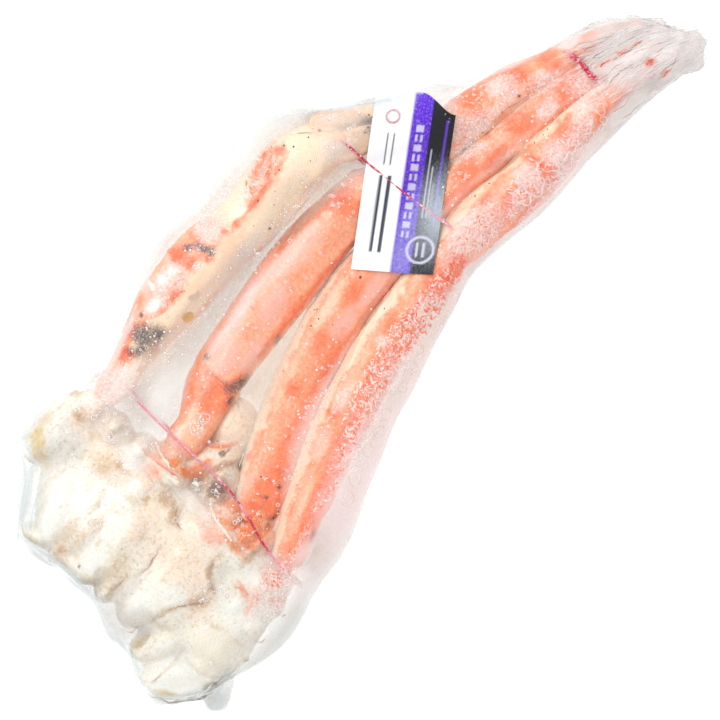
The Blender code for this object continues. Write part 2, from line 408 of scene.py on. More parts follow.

# Lines are (x, y, half width); joints are (x, how deep, how wide); cream is
# where across the limb the pale side starts and ends, from -1 to 1. The side shade
# is painted shade, a deeper orange towards one side of the limb: where across
# the limb it starts, where it is full, and how strong.
limbs = {
    "upperLeg": {
        "line": ((-112, 10, 7), (-103, 12, 9), (-92, 13.5, 9.5), (-84, 16, 11), (-76, 18.5, 13),
                 (-68, 20.5, 13.5), (-40, 23, 14.5), (-5, 25, 15.5), (25, 24.5, 14), (48, 21, 13),
                 (62, 19, 12), (85, 14, 12), (105, 8, 12), (125, 3, 10.5), (145, -4, 9.5),
                 (165, -12, 6.5), (186, -22, 4.5), (199, -36, 3)),
        "tuck": (-100, -112, 3.0),
        "joints": ((-69, 0.03, 1.8), (54, 0.14, 4.0), (96, 0.12, 4.0), (166, 0.12, 4.0)),
        "cream": (-0.94, -1.1),
        "sideShade": (0.45, 1.0, 0.7),
        "deep": ((-80, 20, 10, 9, 25), (-76, 9, 6, 4, 0), (-99, 4.5, 5, 1.2, 0), (-72, 18, 4, 9, 0),
                 (-20, 12, 24, 2.4, 3), (10, 12, 20, 2, 0),
                 (34, 26, 6, 8, 30), (8, 36.5, 16, 2, 2), (-66, 13.5, 7, 1.6, -12),
                 (-42, 10, 6, 1.6, 5), (134, 4, 5, 8, 60), (151, -2, 5, 3, -20), (150, -8, 4, 3, -20),
                 (112, 13, 7, 5, -30), (108, 4, 3, 4, 0), (38, 20, 3, 9, 10), (-97, 4, 3, 3, 0)),
        "pink": ((-58, 25, 10, 8, 20), (-35, 33, 26, 4, 8), (0, 30, 20, 6, -3), (-50, 14, 9, 4, 0),
                 (62, 24, 12, 6, -20), (44, 14, 9, 6, 0), (-25, 22, 12, 5, 10), (-108, 13, 5, 6, 0)),
        "pale": ((125, 6.5, 5, 4, -20), (103, 1, 8, 3, -15), (142, -6, 4, 3, -30),
                 (47, 20, 2.4, 6, 10), (120, -1, 10, 3, -15), (-103, 17, 5, 3, 10)),
        "dark": ((-68.2, 12, 2.8, 4.2, 10), (-64, 9.6, 7, 3.0, -20), (-64.5, 30.5, 2.2, 1.6, 40),
                 (-36, 9.6, 2.8, 1.3, 20), (-73, 7.4, 3, 1.6, 0)),
        # painted shade: a tan line along the top edge, where the leg meets the claw
        "tan": ((20, 36, 22, 1.8, -2),),
        "peach": ((-97, 14, 7, 7, 10), (-90, 18, 5, 3, 25)),
        # brick-red marks; the first two run along the leg's top edge as painted shade
        "brickAndShade": ((22, 35, 16, 2.6, -3), (2, 37, 8, 1.6, 8), (36, 30, 6, 4, 0)),
    },
    "middleLeg": {
        "line": ((-112, -34, 8), (-103, -33, 11), (-90, -28.5, 13.5), (-70, -20.5, 14),
                 (-40, -10.5, 13.5), (-5, -4.5, 14), (22, -3.5, 13.5), (45, -5, 12), (62, -7, 10.5),
                 (85, -9, 11), (105, -12.5, 10.5), (125, -15.5, 10), (150, -21.5, 8.5), (172, -29, 5.5),
                 (192, -41, 3.5)),
        "tuck": (-104, -112, 2.0),
        "joints": ((55, 0.16, 5.0), (104, 0.10, 3.5), (166, 0.12, 4.0)),
        "cream": (0.64, 0.9),
        "sideShade": (0.45, -0.8, 0.9),
        "deep": ((-94, -35, 14, 8, 22), (-105, -32, 2.4, 5, 20), (-101, -40, 5, 4, 20),
                 (-84, -31, 16, 5, 20), (-96, -27, 4, 4, 20),
                 (-64, -26, 16, 4, 20), (-30, -17, 18, 3, 15), (-50, -12, 5, 5, 20),
                 (-98, -34, 1.6, 2.8, 25), (98, -15, 8, 6, -15), (118, -12, 8, 5.5, -15),
                 (144, -19, 5, 6, -30), (152, -21, 4, 4, -20), (70, -12, 10, 3.5, -8), (-24, -6, 6, 5, 20),
                 (4, -3, 7, 5, 0), (84, -8, 8, 5, 0), (104, -17, 4, 2.4, 0)),
        "pink": ((12, -10, 14, 4, 0), (-10, -10, 9, 4, 5)),
        "pale": ((107, -20, 6, 2, -20), (131, -19, 6, 4, -10), (158, -23, 5, 4, -20),
                 (95, -5, 8, 2, -10)),
        "dark": ((-90, -36.5, 1.2, 0.9, 0), (-98, -35, 0.7, 1.0, 30)),
        # tan lines along the edges, painted shade where the legs meet
        "tan": ((-88, -12.5, 14, 1.2, 26), (98, -1, 12, 1.2, -12)),
        "peach": ((-100, -24, 6, 3, 35), (-8, 1, 12, 3, 8), (-46, -5, 16, 2, 12)),
        "brickAndShade": ((-98, -34, 1.2, 2.4, 25), (-103, -43.5, 3, 1, 0), (96, -16, 6, 2.4, -15)),
    },
    "lowerLeg": {
        "line": ((-120, -63, 8), (-105, -57.5, 9.5), (-95, -53.5, 10.5), (-80, -48.8, 12),
                 (-65, -43.5, 13), (-35, -36.5, 13.5), (0, -30, 13), (30, -28, 12), (50, -27, 12),
                 (70, -28, 13), (95, -33, 13), (115, -34, 12.5), (135, -34, 9.5), (155, -37, 7),
                 (180, -43, 5), (198, -51, 3.5)),
        "tuck": (-106, -120, 3.5),
        "joints": ((48, 0.14, 4.0), (160, 0.12, 4.0)),
        "cream": (0.5, 0.82),
        "sideShade": (0.5, -0.6, 1.0),
        "deep": ((-95, -60, 14, 4, 12), (-70, -51, 14, 4, 15), (-50, -45.5, 12, 4, 12),
                 (-46, -34, 4, 3, 0), (-28, -40, 12, 5, 14), (-17, -33, 4, 3, 0),
                 (-17, -43, 4, 2.5, 0), (4, -27, 5, 2.4, 0), (11, -32, 4, 3, 0), (6, -38, 8, 3, 10),
                 (34, -30, 8, 5, 20), (44, -36, 2.5, 2.5, 0), (108, -31, 3, 8, 0),
                 (108, -40, 3, 4, 0), (129, -32, 7, 6, 30), (88, -34, 6, 5, 0),
                 (-120, -58, 5, 3, 0), (78, -24, 5, 2, 0), (-23, -43, 5, 2, 20), (48, -34, 5, 4, 0)),
        "pink": ((20, -37, 12, 5, 10), (-60, -38, 8, 3, 20)),
        "pale": ((-4, -31, 3.5, 5, 10), (20, -35, 6, 6, 40), (62, -28, 11, 9, 0), (99, -34, 5, 8, 0),
                 (117, -37, 6, 6, 0), (-38, -32, 8, 3, 10), (-8, -44, 20, 2, 8),
                 (-60, -54, 16, 2, 16), (140, -33, 5, 5, 0), (-104, -62, 9, 2.4, 15)),
        "dark": ((-98, -64, 3, 0.9, 20),),
        # tan lines along the edges, painted shade where the legs meet
        "tan": ((0, -17.5, 20, 1, 2), (100, -21, 12, 1.2, -12)),
        "peach": ((-84, -47, 10, 3, 22), (-30, -29, 10, 2.4, 12), (64, -18, 12, 2, -5),
                  (-62, -40, 8, 2.4, 20)),
        "brickAndShade": ((-18, -36, 2, 3, 0), (10, -33, 2, 2, 0), (-24, -44, 6, 1.6, 20), (46, -38, 3, 2, 0),
                  (-100, -61, 3, 1.4, 0)),
    },
    "clawPalm": {
        "line": ((-26, 58, 11), (-8, 58, 15), (8, 57.5, 16), (24, 57.5, 16.5), (38, 56, 15.5),
                 (49, 51.5, 12), (58, 46, 8)),
        "tuck": (-10, -22, 5.0),
        "joints": (),
        "cream": (1.5, 0.9),
        "sideShade": (0.5, -1.0, 0.0),
        "deep": ((8, 59.5, 17, 2.0, 2), (24, 67, 12, 5.4, 8), (27, 70.5, 2.4, 3.4, 0),
                 (34, 66, 3, 3.4, 0), (27, 62, 7, 1.6, 10), (-6, 60, 4, 1.6, 0), (10, 63.4, 7, 2.4, 10)),
        "pink": ((4, 67, 15, 6, 6), (50, 47, 7, 7, 0)),
        "pale": ((4, 65, 9, 2.4, 25), (0, 74, 12, 3, 5), (16, 72.5, 8, 1.4, 8), (20, 66.4, 9, 1.6, 18),
                 (29, 66, 3, 1.4, 60)),
        "dark": (),
        # a tan line along the lower edge, painted shade where claw and leg meet; a small tan spot
        "tan": ((10, 41.5, 24, 1.2, 0), (2, 46.5, 1.2, 0.9, 20)),
        "peach": ((2, 56.5, 12, 1.6, 5), (24, 43, 26, 3, 0)),
        "brickAndShade": ((27, 70.5, 1.4, 3, 0), (16, 60.5, 4, 1.4, 20), (34, 66.5, 2, 2.4, 0), (20, 66, 7, 2, 15),
                  (8, 60, 6, 1.2, 0)),
    },
    "clawArm": {
        "line": ((-114, 55, 7), (-100, 56, 9), (-86, 60, 11.5), (-66, 61, 14), (-42, 61, 16),
                 (-24, 60.5, 16), (-8.5, 58.5, 14)),
        "tuck": (-104, -114, 3.0),
        "joints": (),
        "cream": (0.2, -0.1),
        "sideShade": (0.0, 1.0, 0.0),
        "deep": ((-89, 60, 4.4, 4.6, 20), (-36, 71, 4.4, 6.5, 0), (-34.5, 64.4, 3.8, 1.8, 10),
                 (-23.5, 70, 3, 4.4, 0), (-28, 60, 3, 2.4, -30), (-13, 63, 2, 1.8, 0), (-72.5, 62, 1.4, 2.6, -30),
                 (-82, 66, 5, 2.0, 25), (-66, 71, 5, 1.2, 15), (-60, 60, 3, 1.4, 0), (-47, 63.6, 3, 1.0, -10)),
        "pink": ((-57, 72, 5, 3.4, 30), (-52, 71, 2.6, 4.4, 0), (-98, 58.5, 6, 2, 0), (-77, 70, 6, 2, 10),
                 (-67, 66.6, 5, 1.6, 20), (-52, 60, 6.5, 3.4, -8), (-40, 74, 3, 5, 0), (-15, 66, 7, 5, 0)),
        "pale": ((-104, 53, 12, 8, 0), (-60, 65, 6, 3.6, 0), (-46, 68, 8, 4.4, 0), (-55, 72.5, 1, 2.2, -20),
                 (-14, 71, 9, 7, 0), (-60, 76, 14, 2, 5), (-18, 65, 4, 4, 0), (-44, 62, 6, 2, 0)),
        "dark": ((-76, 60, 4.6, 6.6, 10), (-86, 59.5, 2.2, 2.8, 0), (-26, 65, 2.4, 5.0, 22),
                 (-30.4, 70.4, 2.0, 3.0, 30), (-71, 55, 4, 3, -30), (-69, 66.8, 1.8, 1.2, 20),
                 (-24.2, 60.8, 2.6, 2.2, 0), (-82, 56, 4, 2, 0)),
        "tan": ((-76, 56, 9, 7, 10), (-47, 53, 2, 1.6, 0), (-44, 52.5, 3, 1.0, 35), (-70, 49, 10, 3, 0)),
        "peach": ((-11, 53, 1.8, 8, -6), (-30, 50, 16, 4, 0), (-62, 50, 12, 3, 0), (-40, 57, 10, 2, 0)),
        "brickAndShade": ((-52, 60, 5, 2, -8), (-34.5, 64.4, 3.4, 1.2, 10), (-88, 62, 4, 2, 40),
                  (-76, 70.5, 4, 1.2, 10), (-36, 72, 3, 5, 0)),
    },
    "upperFinger": {
        "line": ((49, 60, 5.5), (57, 59.5, 6), (66, 52.5, 6), (75, 44, 5), (86, 34, 3)),
        "tuck": (54, 49, 1.5),
        "joints": (),
        "cream": (1.5, 0.9),
        "sideShade": (0.5, -1.0, 0.0),
        "deep": (),
        "pink": (),
        "pale": ((58, 60, 6, 3, -30),),
        "dark": ((71, 43, 6, 2.8, -38), (64, 49, 5, 1.5, -40), (58, 55, 3, 1.0, -40)),
        "tan": ((65, 50, 12, 4.5, -40),),
        "peach": ((55, 62, 4, 2.4, -20),),
        "brickAndShade": (),
    },
    "lowerFinger": {
        "line": ((48, 47, 8), (58, 42.5, 7.5), (68, 37, 6), (78, 31, 3.5)),
        "tuck": (54, 46, 1.5),
        "joints": (),
        "cream": (1.5, 0.9),
        "sideShade": (0.5, -1.0, 0.0),
        "deep": (),
        "pink": ((54, 40, 8, 5, -30),),
        "pale": ((56, 45, 6, 3, -30),),
        "dark": ((72, 38, 6, 2.4, -35),),
        "tan": ((62, 40, 12, 5, -30),),
        "peach": ((62, 46, 4, 2, -40),),
        "brickAndShade": (),
    },
}


def limbMesh(name, build, seed):
    distance, line = throughPoints(build["line"], limbLook["step"])
    x, y, half = line.T
    tangent = np.gradient(line[:, :2], axis=0)
    tangent /= np.linalg.norm(tangent, axis=1)[:, None]
    left = np.stack([-tangent[:, 1], tangent[:, 0], np.zeros(len(x))], axis=1)
    cap = np.minimum(distance, distance[-1] - distance)
    taper = np.sqrt(1.0 - (1.0 - np.clip(cap / limbLook["endRound"], 0.02, 1.0)) ** 2)
    width = half * taper
    for place, depth, reach in build["joints"]:
        width = width * (1.0 - depth * np.exp(-((x - place) / reach) ** 2))
        width = width * (1.0 + 0.4 * depth * np.exp(-((x - place + 2.0 * reach) / reach) ** 2))
    top = topHeights(skinTree, line[:, :2])
    top = np.convolve(np.pad(top, 8, "edge"), np.ones(17) / 17, "valid")
    tucked = build["tuck"]
    top = top - tucked[2] * rise(x, tucked[0], tucked[1])
    high = np.minimum(width * 0.92, (top - limbLook["cover"]) / 2.0 - 0.8)
    middle = top - limbLook["cover"] - high
    angle = np.linspace(0.0, 2.0 * math.pi, limbLook["sides"], endpoint=False)
    power = 2.0 / limbLook["roundness"]
    across = np.sign(np.cos(angle)) * np.abs(np.cos(angle)) ** power
    lift = np.sign(np.sin(angle)) * np.abs(np.sin(angle)) ** power
    centre = np.stack([x, y, middle], axis=1)
    points = (centre[:, None, :] + left[:, None, :] * (width[:, None] * across)[:, :, None]
              + up * (high[:, None] * lift)[:, :, None])
    outward = left[:, None, :] * np.cos(angle)[None, :, None] + up * np.sin(angle)[None, :, None]
    points = points.reshape(-1, 3)
    outward = outward.reshape(-1, 3)
    bumps = 0.4 * softNoise(points, 9.0, seed) + 0.12 * softNoise(points, 2.6, seed + 5)
    knobs = rise(softNoise(points, 3.1, seed + 9), 0.5, 0.9) * 0.5
    points = (points + outward * (bumps + knobs)[:, None]) * mm
    points = keepUnder(points, skinTree, limbLook["cover"] * mm)
    rings = len(x)
    sides = limbLook["sides"]
    faces = []
    for ring in range(rings - 1):
        for side in range(sides):
            after = (side + 1) % sides
            faces.append((ring * sides + side, (ring + 1) * sides + side,
                          (ring + 1) * sides + after, ring * sides + after))
    faces.append(tuple(range(sides)))
    faces.append(tuple(range((rings - 1) * sides, rings * sides))[::-1])
    piece = newPiece(name, points, faces)
    sideways = np.tile(across, rings)
    lifted = np.tile(lift, rings)
    start, end = build["cream"]
    edge = 0.2 * softNoise(points / mm, 14.0, seed + 31) + 0.12 * softNoise(points / mm, 4.0, seed + 32)
    cream = rise((sideways + edge) * np.sign(end - start), start * np.sign(end - start),
                 end * np.sign(end - start))
    cream = np.maximum(cream, rise(-lifted, 0.25, 0.6))
    mark(piece, "cream", cream)
    # Painted shade: a deeper orange that grows towards one side of the limb.
    start, end, most = build["sideShade"]
    mark(piece, "sideShade", most * np.clip((sideways + edge - start) / (end - start), 0.0, 1.0))
    for key in ("deep", "pink", "pale", "dark", "tan", "peach", "brickAndShade"):
        most = limbLook["strength"].get(key, 1.0)
        mark(piece, key, most * spotMask(points, build[key]) * rise(lifted, -0.4, 0.1))
    mark(piece, "jointed", sum((np.exp(-((points[:, 0] / mm - place) / 1.0) ** 2)
                                for place, depth, reach in build["joints"]), np.zeros(len(points))))
    return piece


shellLook = {
    "salmon": linear(252, 162, 120),
    "lightSalmon": linear(255, 182, 141),
    "coral": linear(248, 132, 90),
    "milky": linear(255, 209, 178),
    "deep": linear(248, 118, 60),
    "red": linear(230, 62, 42),
    "cream": linear(253, 228, 198),
    # painted shade for one side of a limb
    "sideShade": linear(250, 128, 72),
    "pink": linear(251, 192, 180),
    "pale": linear(250, 228, 222),
    "dark": linear(72, 70, 84),
    "tan": linear(196, 162, 134),
    "peach": linear(252, 204, 170),
    "brickAndShade": linear(222, 96, 46),
    "freckle": linear(255, 220, 196),
    "ruddy": linear(250, 176, 140),
    "shade": linear(232, 180, 150),
    "roughness": 0.42,
    "subsurface": 0.12,
}


def shellMaterial(name, look):
    material, tree, shader = newMaterial(name)
    cloud = noiseOf(tree, 80.0, 6.0, 0.66)
    fine = noiseOf(tree, 900.0, 4.0, 0.66)
    blotch = noiseOf(tree, 260.0, 5.0, 0.68)
    mottle = noiseOf(tree, 520.0, 6.0, 0.75)
    lighter = math2(tree, "MULTIPLY", math2(tree, "SUBTRACT", cloud, 0.42, True), 4.0, True)
    colour = mixColour(tree, lighter, look["salmon"], look["lightSalmon"])
    warmer = math2(tree, "MULTIPLY", math2(tree, "SUBTRACT", mottle, 0.5, True), 7.0, True)
    colour = mixColour(tree, math2(tree, "MULTIPLY", warmer, 0.75), colour, look["coral"])
    milky = math2(tree, "MULTIPLY", math2(tree, "SUBTRACT", 0.46, mottle, True), 7.0, True)
    colour = mixColour(tree, math2(tree, "MULTIPLY", milky, 0.75), colour, look["milky"])
    # Painted shade: one side of each limb turns a deeper orange.
    sideShade = math2(tree, "MULTIPLY", attributeOf(tree, "sideShade"),
                  math2(tree, "ADD", math2(tree, "MULTIPLY", blotch, 1.6), -0.1), True)
    colour = mixColour(tree, sideShade, colour, look["sideShade"])
    colour = mixColour(tree, math2(tree, "MULTIPLY", raggedMask(tree, "pink", 260.0, 1.6, 1.1), 0.7),
                       colour, look["pink"])
    colour = mixColour(tree, raggedMask(tree, "cream", 300.0, 1.8, 1.5), colour, look["cream"])
    deep = math2(tree, "MULTIPLY", raggedMask(tree, "deep", 380.0, 2.4, 1.3), 0.9)
    colour = mixColour(tree, deep, colour, look["deep"])
    reds = math2(tree, "MULTIPLY", math2(tree, "SUBTRACT", blotch, 0.55, True), 6.0, True)
    colour = mixColour(tree, math2(tree, "MULTIPLY", deep, reds), colour, look["red"])
    colour = mixColour(tree, math2(tree, "MULTIPLY", raggedMask(tree, "peach", 380.0, 2.0, 1.1), 0.6),
                       colour, look["peach"])
    # Brick-red marks, some of them painted shade along the top edge of the upper leg.
    brickAndShade = math2(tree, "MULTIPLY", raggedMask(tree, "brickAndShade", 420.0, 2.0, 1.3), 0.75)
    colour = mixColour(tree, brickAndShade, colour, look["brickAndShade"])
    # Tan patches, and thin tan lines along limb edges that are painted shade where limbs meet.
    colour = mixColour(tree, math2(tree, "MULTIPLY", raggedMask(tree, "tan", 300.0, 0.9, 2.0), 0.7),
                       colour, look["tan"])
    frosty = math2(tree, "MULTIPLY", math2(tree, "SUBTRACT", fine, 0.38, True), 5.0, True)
    frosty = math2(tree, "MULTIPLY", raggedMask(tree, "pale", 500.0, 1.8, 1.6), frosty)
    colour = mixColour(tree, math2(tree, "MULTIPLY", frosty, 0.85), colour, look["pale"])
    freckle = noiseOf(tree, 760.0, 6.0, 0.78)
    light = math2(tree, "MULTIPLY", math2(tree, "SUBTRACT", freckle, 0.53, True), 9.0, True)
    colour = mixColour(tree, math2(tree, "MULTIPLY", light, 0.38), colour, look["freckle"])
    ruddy = math2(tree, "MULTIPLY", math2(tree, "SUBTRACT", 0.46, freckle, True), 9.0, True)
    colour = mixColour(tree, math2(tree, "MULTIPLY", ruddy, 0.4), colour, look["ruddy"], "MULTIPLY")
    soot = math2(tree, "MULTIPLY", raggedMask(tree, "dark", 1000.0, 3.2, 1.1), 0.88)
    colour = mixColour(tree, soot, colour, look["dark"])
    seam = math2(tree, "MULTIPLY", attributeOf(tree, "jointed"), 0.3)
    colour = mixColour(tree, seam, colour, look["brickAndShade"])
    colour = mixColour(tree, math2(tree, "MULTIPLY", attributeOf(tree, "shade"), 0.36), colour,
                       look["shade"], "MULTIPLY")
    tree.links.new(colour, shader.inputs["Base Color"])
    rough = math2(tree, "ADD", math2(tree, "MULTIPLY", fine, 0.2), look["roughness"] - 0.1)
    tree.links.new(rough, shader.inputs["Roughness"])
    shader.inputs["Subsurface Weight"].default_value = look["subsurface"]
    shader.inputs["Subsurface Radius"].default_value = (0.004, 0.0016, 0.001)
    shader.inputs["Subsurface Scale"].default_value = 1.0
    shader.inputs["Coat Weight"].default_value = 0.5
    shader.inputs["Coat Roughness"].default_value = 0.16
    bumpInto(tree, shader, math2(tree, "ADD", fine, blotch), 0.5, 0.0005)
    return material


shell = shellMaterial("crabShell", shellLook)
limbPieces = []
for seed, (name, build) in enumerate(limbs.items()):
    limbPieces.append(finishPiece(limbMesh(name, build, 11 + 12 * seed), shell))
print("limbs:", len(limbPieces))


# ---- shoulder meat

shoulderLook = {
    "voxel": 1.15 * mm,
    "cover": 1.0,
    # (x, y, half length, half width, turn, how far the top lies below the film)
    "lumps": ((-139, 59, 15, 14, 10, 1.2), (-150, 66, 8, 11, -20, 1.4), (-123, 57, 9, 12, 0, 1.8),
              (-132, 71, 13, 8, 0, 1.8), (-164, 37, 22, 11, 18, 0.8), (-149, 34, 14, 11, 0, 1.0),
              (-182, 36, 5, 12, 10, 2.6), (-176, 23, 14, 7, 0, 2.4), (-157, 20, 14, 8, 0, 1.8),
              (-132, 33, 15, 12, 0, 1.4), (-120, 42, 9, 10, 0, 2.4), (-172, 9, 15, 10, 0, 1.0),
              (-180, 14, 7, 13, 0, 2.8), (-134, 15, 17, 14, 0, 1.0), (-150, 4, 16, 13, 10, 1.0),
              (-174, -5, 14, 8, 0, 2.0), (-172, -20, 17, 11, 5, 1.4), (-146, -22, 18, 14, 0, 0.9),
              (-132, -7, 9, 8, 30, 1.8), (-124, -31, 9, 13, 0, 1.6), (-190, -57, 19, 14, -32, 0.8),
              (-180, -42, 20, 10, -28, 1.4), (-169, -62, 12, 12, -10, 1.4),
              (-146, -56, 13, 10, 0, 1.0), (-149, -68, 10, 8, 10, 1.6), (-132, -60, 14, 12, 0, 1.2),
              (-138, -41, 8, 5, 5, 1.8), (-118, -50, 12, 4, 0, 4.0), (-120, 12, 12, 16, 0, 1.8),
              (-110, 12, 9, 9, 0, 2.2), (-119, 26, 9, 8, 0, 2.6), (-103, -2, 17, 9, -35, 2.2),
              (-83, -0.5, 15, 12, 15, 4.2), (-108, -14, 13, 9, 0, 6.5), (-118, -26, 11, 10, 20, 1.7),
              (-117, -39, 11, 7, 0, 2.2), (-118, 56, 9, 10, 0, 2.4), (-104, -47, 10, 4, 20, 4.0),
              (-109, -38, 9, 7, 10, 2.2), (-179, -62, 9, 12, 0, 1.5), (-118, -46, 12, 4, -5, 3.0)),
    # Planes that trim the middle mass: a place on each and the way it faces.
    "trims": (((-117, 0), (1, 0)), ((-184, 20), (-1, 0)), ((-150, -77), (0.05, -1)), ((-172, 48), (-0.555, 0.832))),
    "trimWander": 4.0,
    "coreSunk": 2.2,
    "white": ((-166, 38, 19, 9, 10), (-172, 8, 10, 6, 0), (-158, 32, 12, 5, 0), (-191, -59, 15, 14, -30),
              (-190, -46, 13, 5, 0), (-158, 17.4, 1.6, 1.0, -20), (-165, 13, 4, 2, 0), (-153.6, 66, 1.4, 6, 0),
              (-120, 2, 3, 7, 0), (-176, -22, 10, 6, 0), (-149, -60, 8, 10, 0), (-140, -70, 10, 4, 0),
              (-138, 16, 8, 4, 0), (-154, 10, 10, 5, 0), (-162, -32, 6, 8, 0), (-123, 25, 6, 7, 0),
              (-131, -53, 5, 6, 0), (-176, 33, 8, 3, 20), (-146, 22, 5, 3, 0)),
    "tan": ((-179, 24, 5, 3, 20), (-171, 26, 8, 3.4, 5), (-183, 21, 1.6, 4, 0), (-182, 4, 2.4, 4, 0),
            (-158, 18.5, 4.4, 3.0, 0), (-164, 12.5, 2.4, 1.2, 0), (-134, 8.8, 3, 2, 0), (-170, -1, 11, 4, 0),
            (-176, -7.5, 8, 2.4, -5), (-131, -6, 6, 3.4, 20), (-124, 57, 5.4, 4.4, 0), (-128, 3, 5, 4, -30),
            (-116, 67, 5, 3.4, 0), (-127, 46, 3.4, 3, 0), (-123, 42, 3, 2.4, 0), (-117, 33, 6, 3, -25),
            (-156, -42, 7, 3.4, -35), (-147, -43, 2, 3, 0), (-141, -37, 5, 1.6, 25), (-120, 50, 6, 4, 0),
            (-159.5, -62, 1.8, 9, 0), (-170, -76, 6, 1.5, -8), (-163.5, -77.5, 2.4, 1.2, -20),
            (-152, -77, 3, 1, -20), (-136, -76, 1.4, 2.6, -20), (-130, 29, 3, 3, 0), (-135, 34, 5, 4, 0),
            (-130, 26, 1.4, 5, 10), (-153, 58, 3, 5, -20), (-135, -11, 1, 4, 0), (-159, 57, 2.4, 3, 0),
            (-170, 20, 8, 2.4, 0), (-139, 14, 2.4, 4, 0), (-168, -34, 6, 2.4, -30), (-137, 70, 4, 2.4, 0)),
    # olive patches; the two by the lower left hollow are painted shade
    "olive": ((-148, 66, 4, 4.6, 30), (-152, 60, 3, 4.4, -20), (-190, -32, 4, 2.6, 0), (-144, 68, 3, 2.4, 0),
              (-184, -33.5, 2.8, 1.8, 0), (-187, 38, 3, 7, 0), (-202, -58, 3, 6, 30), (-159, 57, 2.4, 2.4, 0)),
    "peach": ((-142, -34, 12, 7, 0), (-144, -20, 15, 14, 0), (-142, 2, 12, 8, 0), (-132, 34, 9, 12, 0), (-135, -58, 8, 7, 0),
              (-126, -20, 6, 9, 0), (-102, -5, 14, 8, -35), (-84, -0.5, 13, 10, 15), (-126, 14, 6, 8, 0),
              (-158, -42, 7, 7, 0), (-112, -24, 8, 8, 0), (-145, -36, 7, 6, 0), (-125, 52, 9, 9, 0)),
    "salmon": ((-122, 15, 3, 6, 0), (-117, 15, 1.3, 10, 0), (-110, 14, 8, 8, 0), (-126, -27, 5, 6, 10),
               (-118, -27, 5, 9, 15), (-125, -62, 6, 4.4, 10), (-132, -72, 2.4, 3.4, 0), (-138, -62.5, 3, 2.4, 0),
               (-142, -63, 4, 1.6, 0), (-138.4, -55, 1.2, 5, -20), (-91, -4, 6, 1.5, -48), (-110, -24, 4, 8, 25),
               (-119, -57, 5, 3, 0), (-111, -50, 8, 3, 10), (-120, -66, 6, 3, 0), (-106, -1, 5, 3, -40)),
    "orange": ((-113, 9.5, 3.4, 2.2, 0), (-112.5, 2, 2.6, 5, 15), (-110, -2, 2, 3, 30), (-99, 4.5, 4.4, 1.2, 0),
               (-124, -38, 2.4, 7, -10), (-119, -41, 3.4, 5, 0), (-113, -40, 5, 6, 20), (-106, -36, 5, 8, 15),
               (-101, -40, 5, 6, 0), (-112, -45, 9, 2, 0), (-108, -29, 2.4, 6, 20), (-117, -31, 1.6, 7, 20),
               (-133.5, -68.5, 1.5, 1.3, 0), (-125, -63, 3, 2.4, 0), (-93, -2.5, 4.4, 0.9, -52),
               (-105, -1, 5, 1, -25)),
    # grey-white meat, and painted shade in several of the hollows
    "greyAndShade": ((-140, 57, 17, 10, 0), (-151.5, 24, 4, 1.6, 10), (-138, -41, 7, 3.6, 5), (-98, -15, 7, 4, -10),
             (-170, -13, 12, 3, 0), (-118, 37, 8, 4, -20), (-165, 17, 8, 2, 0), (-187, -31, 7, 3.4, 0),
             (-140, 48, 12, 3, 0), (-185, -16, 8, 8, 0)),
    # umber spots, and painted shade in the hollows by the leg roots and along a groove
    "umberAndShade": ((-113, -6, 7, 4.4, -15), (-100, -9, 7, 1.6, -30), (-128, 0, 4, 4, -30), (-132, -6, 4, 2.4, 20),
              (-156, -42.6, 4.4, 2, -40), (-141, -36.6, 3.4, 1.7, 25), (-146.5, -43, 1.7, 2.8, 0),
              (-121, -47, 8, 1.6, -5), (-124, 58, 3.6, 3, 0), (-119, 52, 4, 2, 0), (-134, 8.8, 2, 1.3, 0),
              (-123, 41, 2.2, 1.4, 0), (-116, 68, 3, 2, 0), (-179, 24, 2.4, 1.6, 0),
              (-129.6, 28.6, 1.8, 1.3, 0), (-110, -14, 9, 6, -10)),
    "dark": ((-109.5, -14.5, 4.6, 5.5, -10), (-95, -5, 1.6, 1.4, 0), (-92, -6.5, 1.4, 1.0, 0),
             (-179.3, 12.3, 0.9, 0.7, 0)),
    "grooves": ((1.1, ((-162, -12.8), (-158, -13.4), (-151, -12), (-147, -11.4))),
                (1.1, ((-134, -13.5), (-133, -9), (-129, -5.5), (-127, -3))),
                (1.6, ((-148, -44.5), (-144, -40), (-141, -36.5), (-136, -35.5), (-131, -36))),
                (1.1, ((-178, -30.5), (-168, -33.5), (-161, -38), (-153, -45))),
                (0.9, ((-200, -50), (-185, -51.5), (-178, -51))),
                (1.2, ((-181, -55), (-181.5, -64), (-178, -74))),
                (1.2, ((-156, 25.5), (-150, 24), (-144, 26)))),
    "hollows": ((-109.5, -15, 7, 6, 0, 3.0), (-187, -32, 6, 2.8, -5, 2.0),
                (-148, -43, 6, 2, 15, 1.0), (-118, 36, 8, 4, -20, 2.0), (-128, -10, 5, 3, 20, 1.2),
                (-176, -8, 7, 2, 0, 0.8), (-144, 49, 12, 2, 0, 0.8)),
    # An oval of grained meat: x, y, half length, half width, turn, then the grain's width.
    "fan": (-169.5, -63, 11.5, 10.5, 0, 1.1),
}


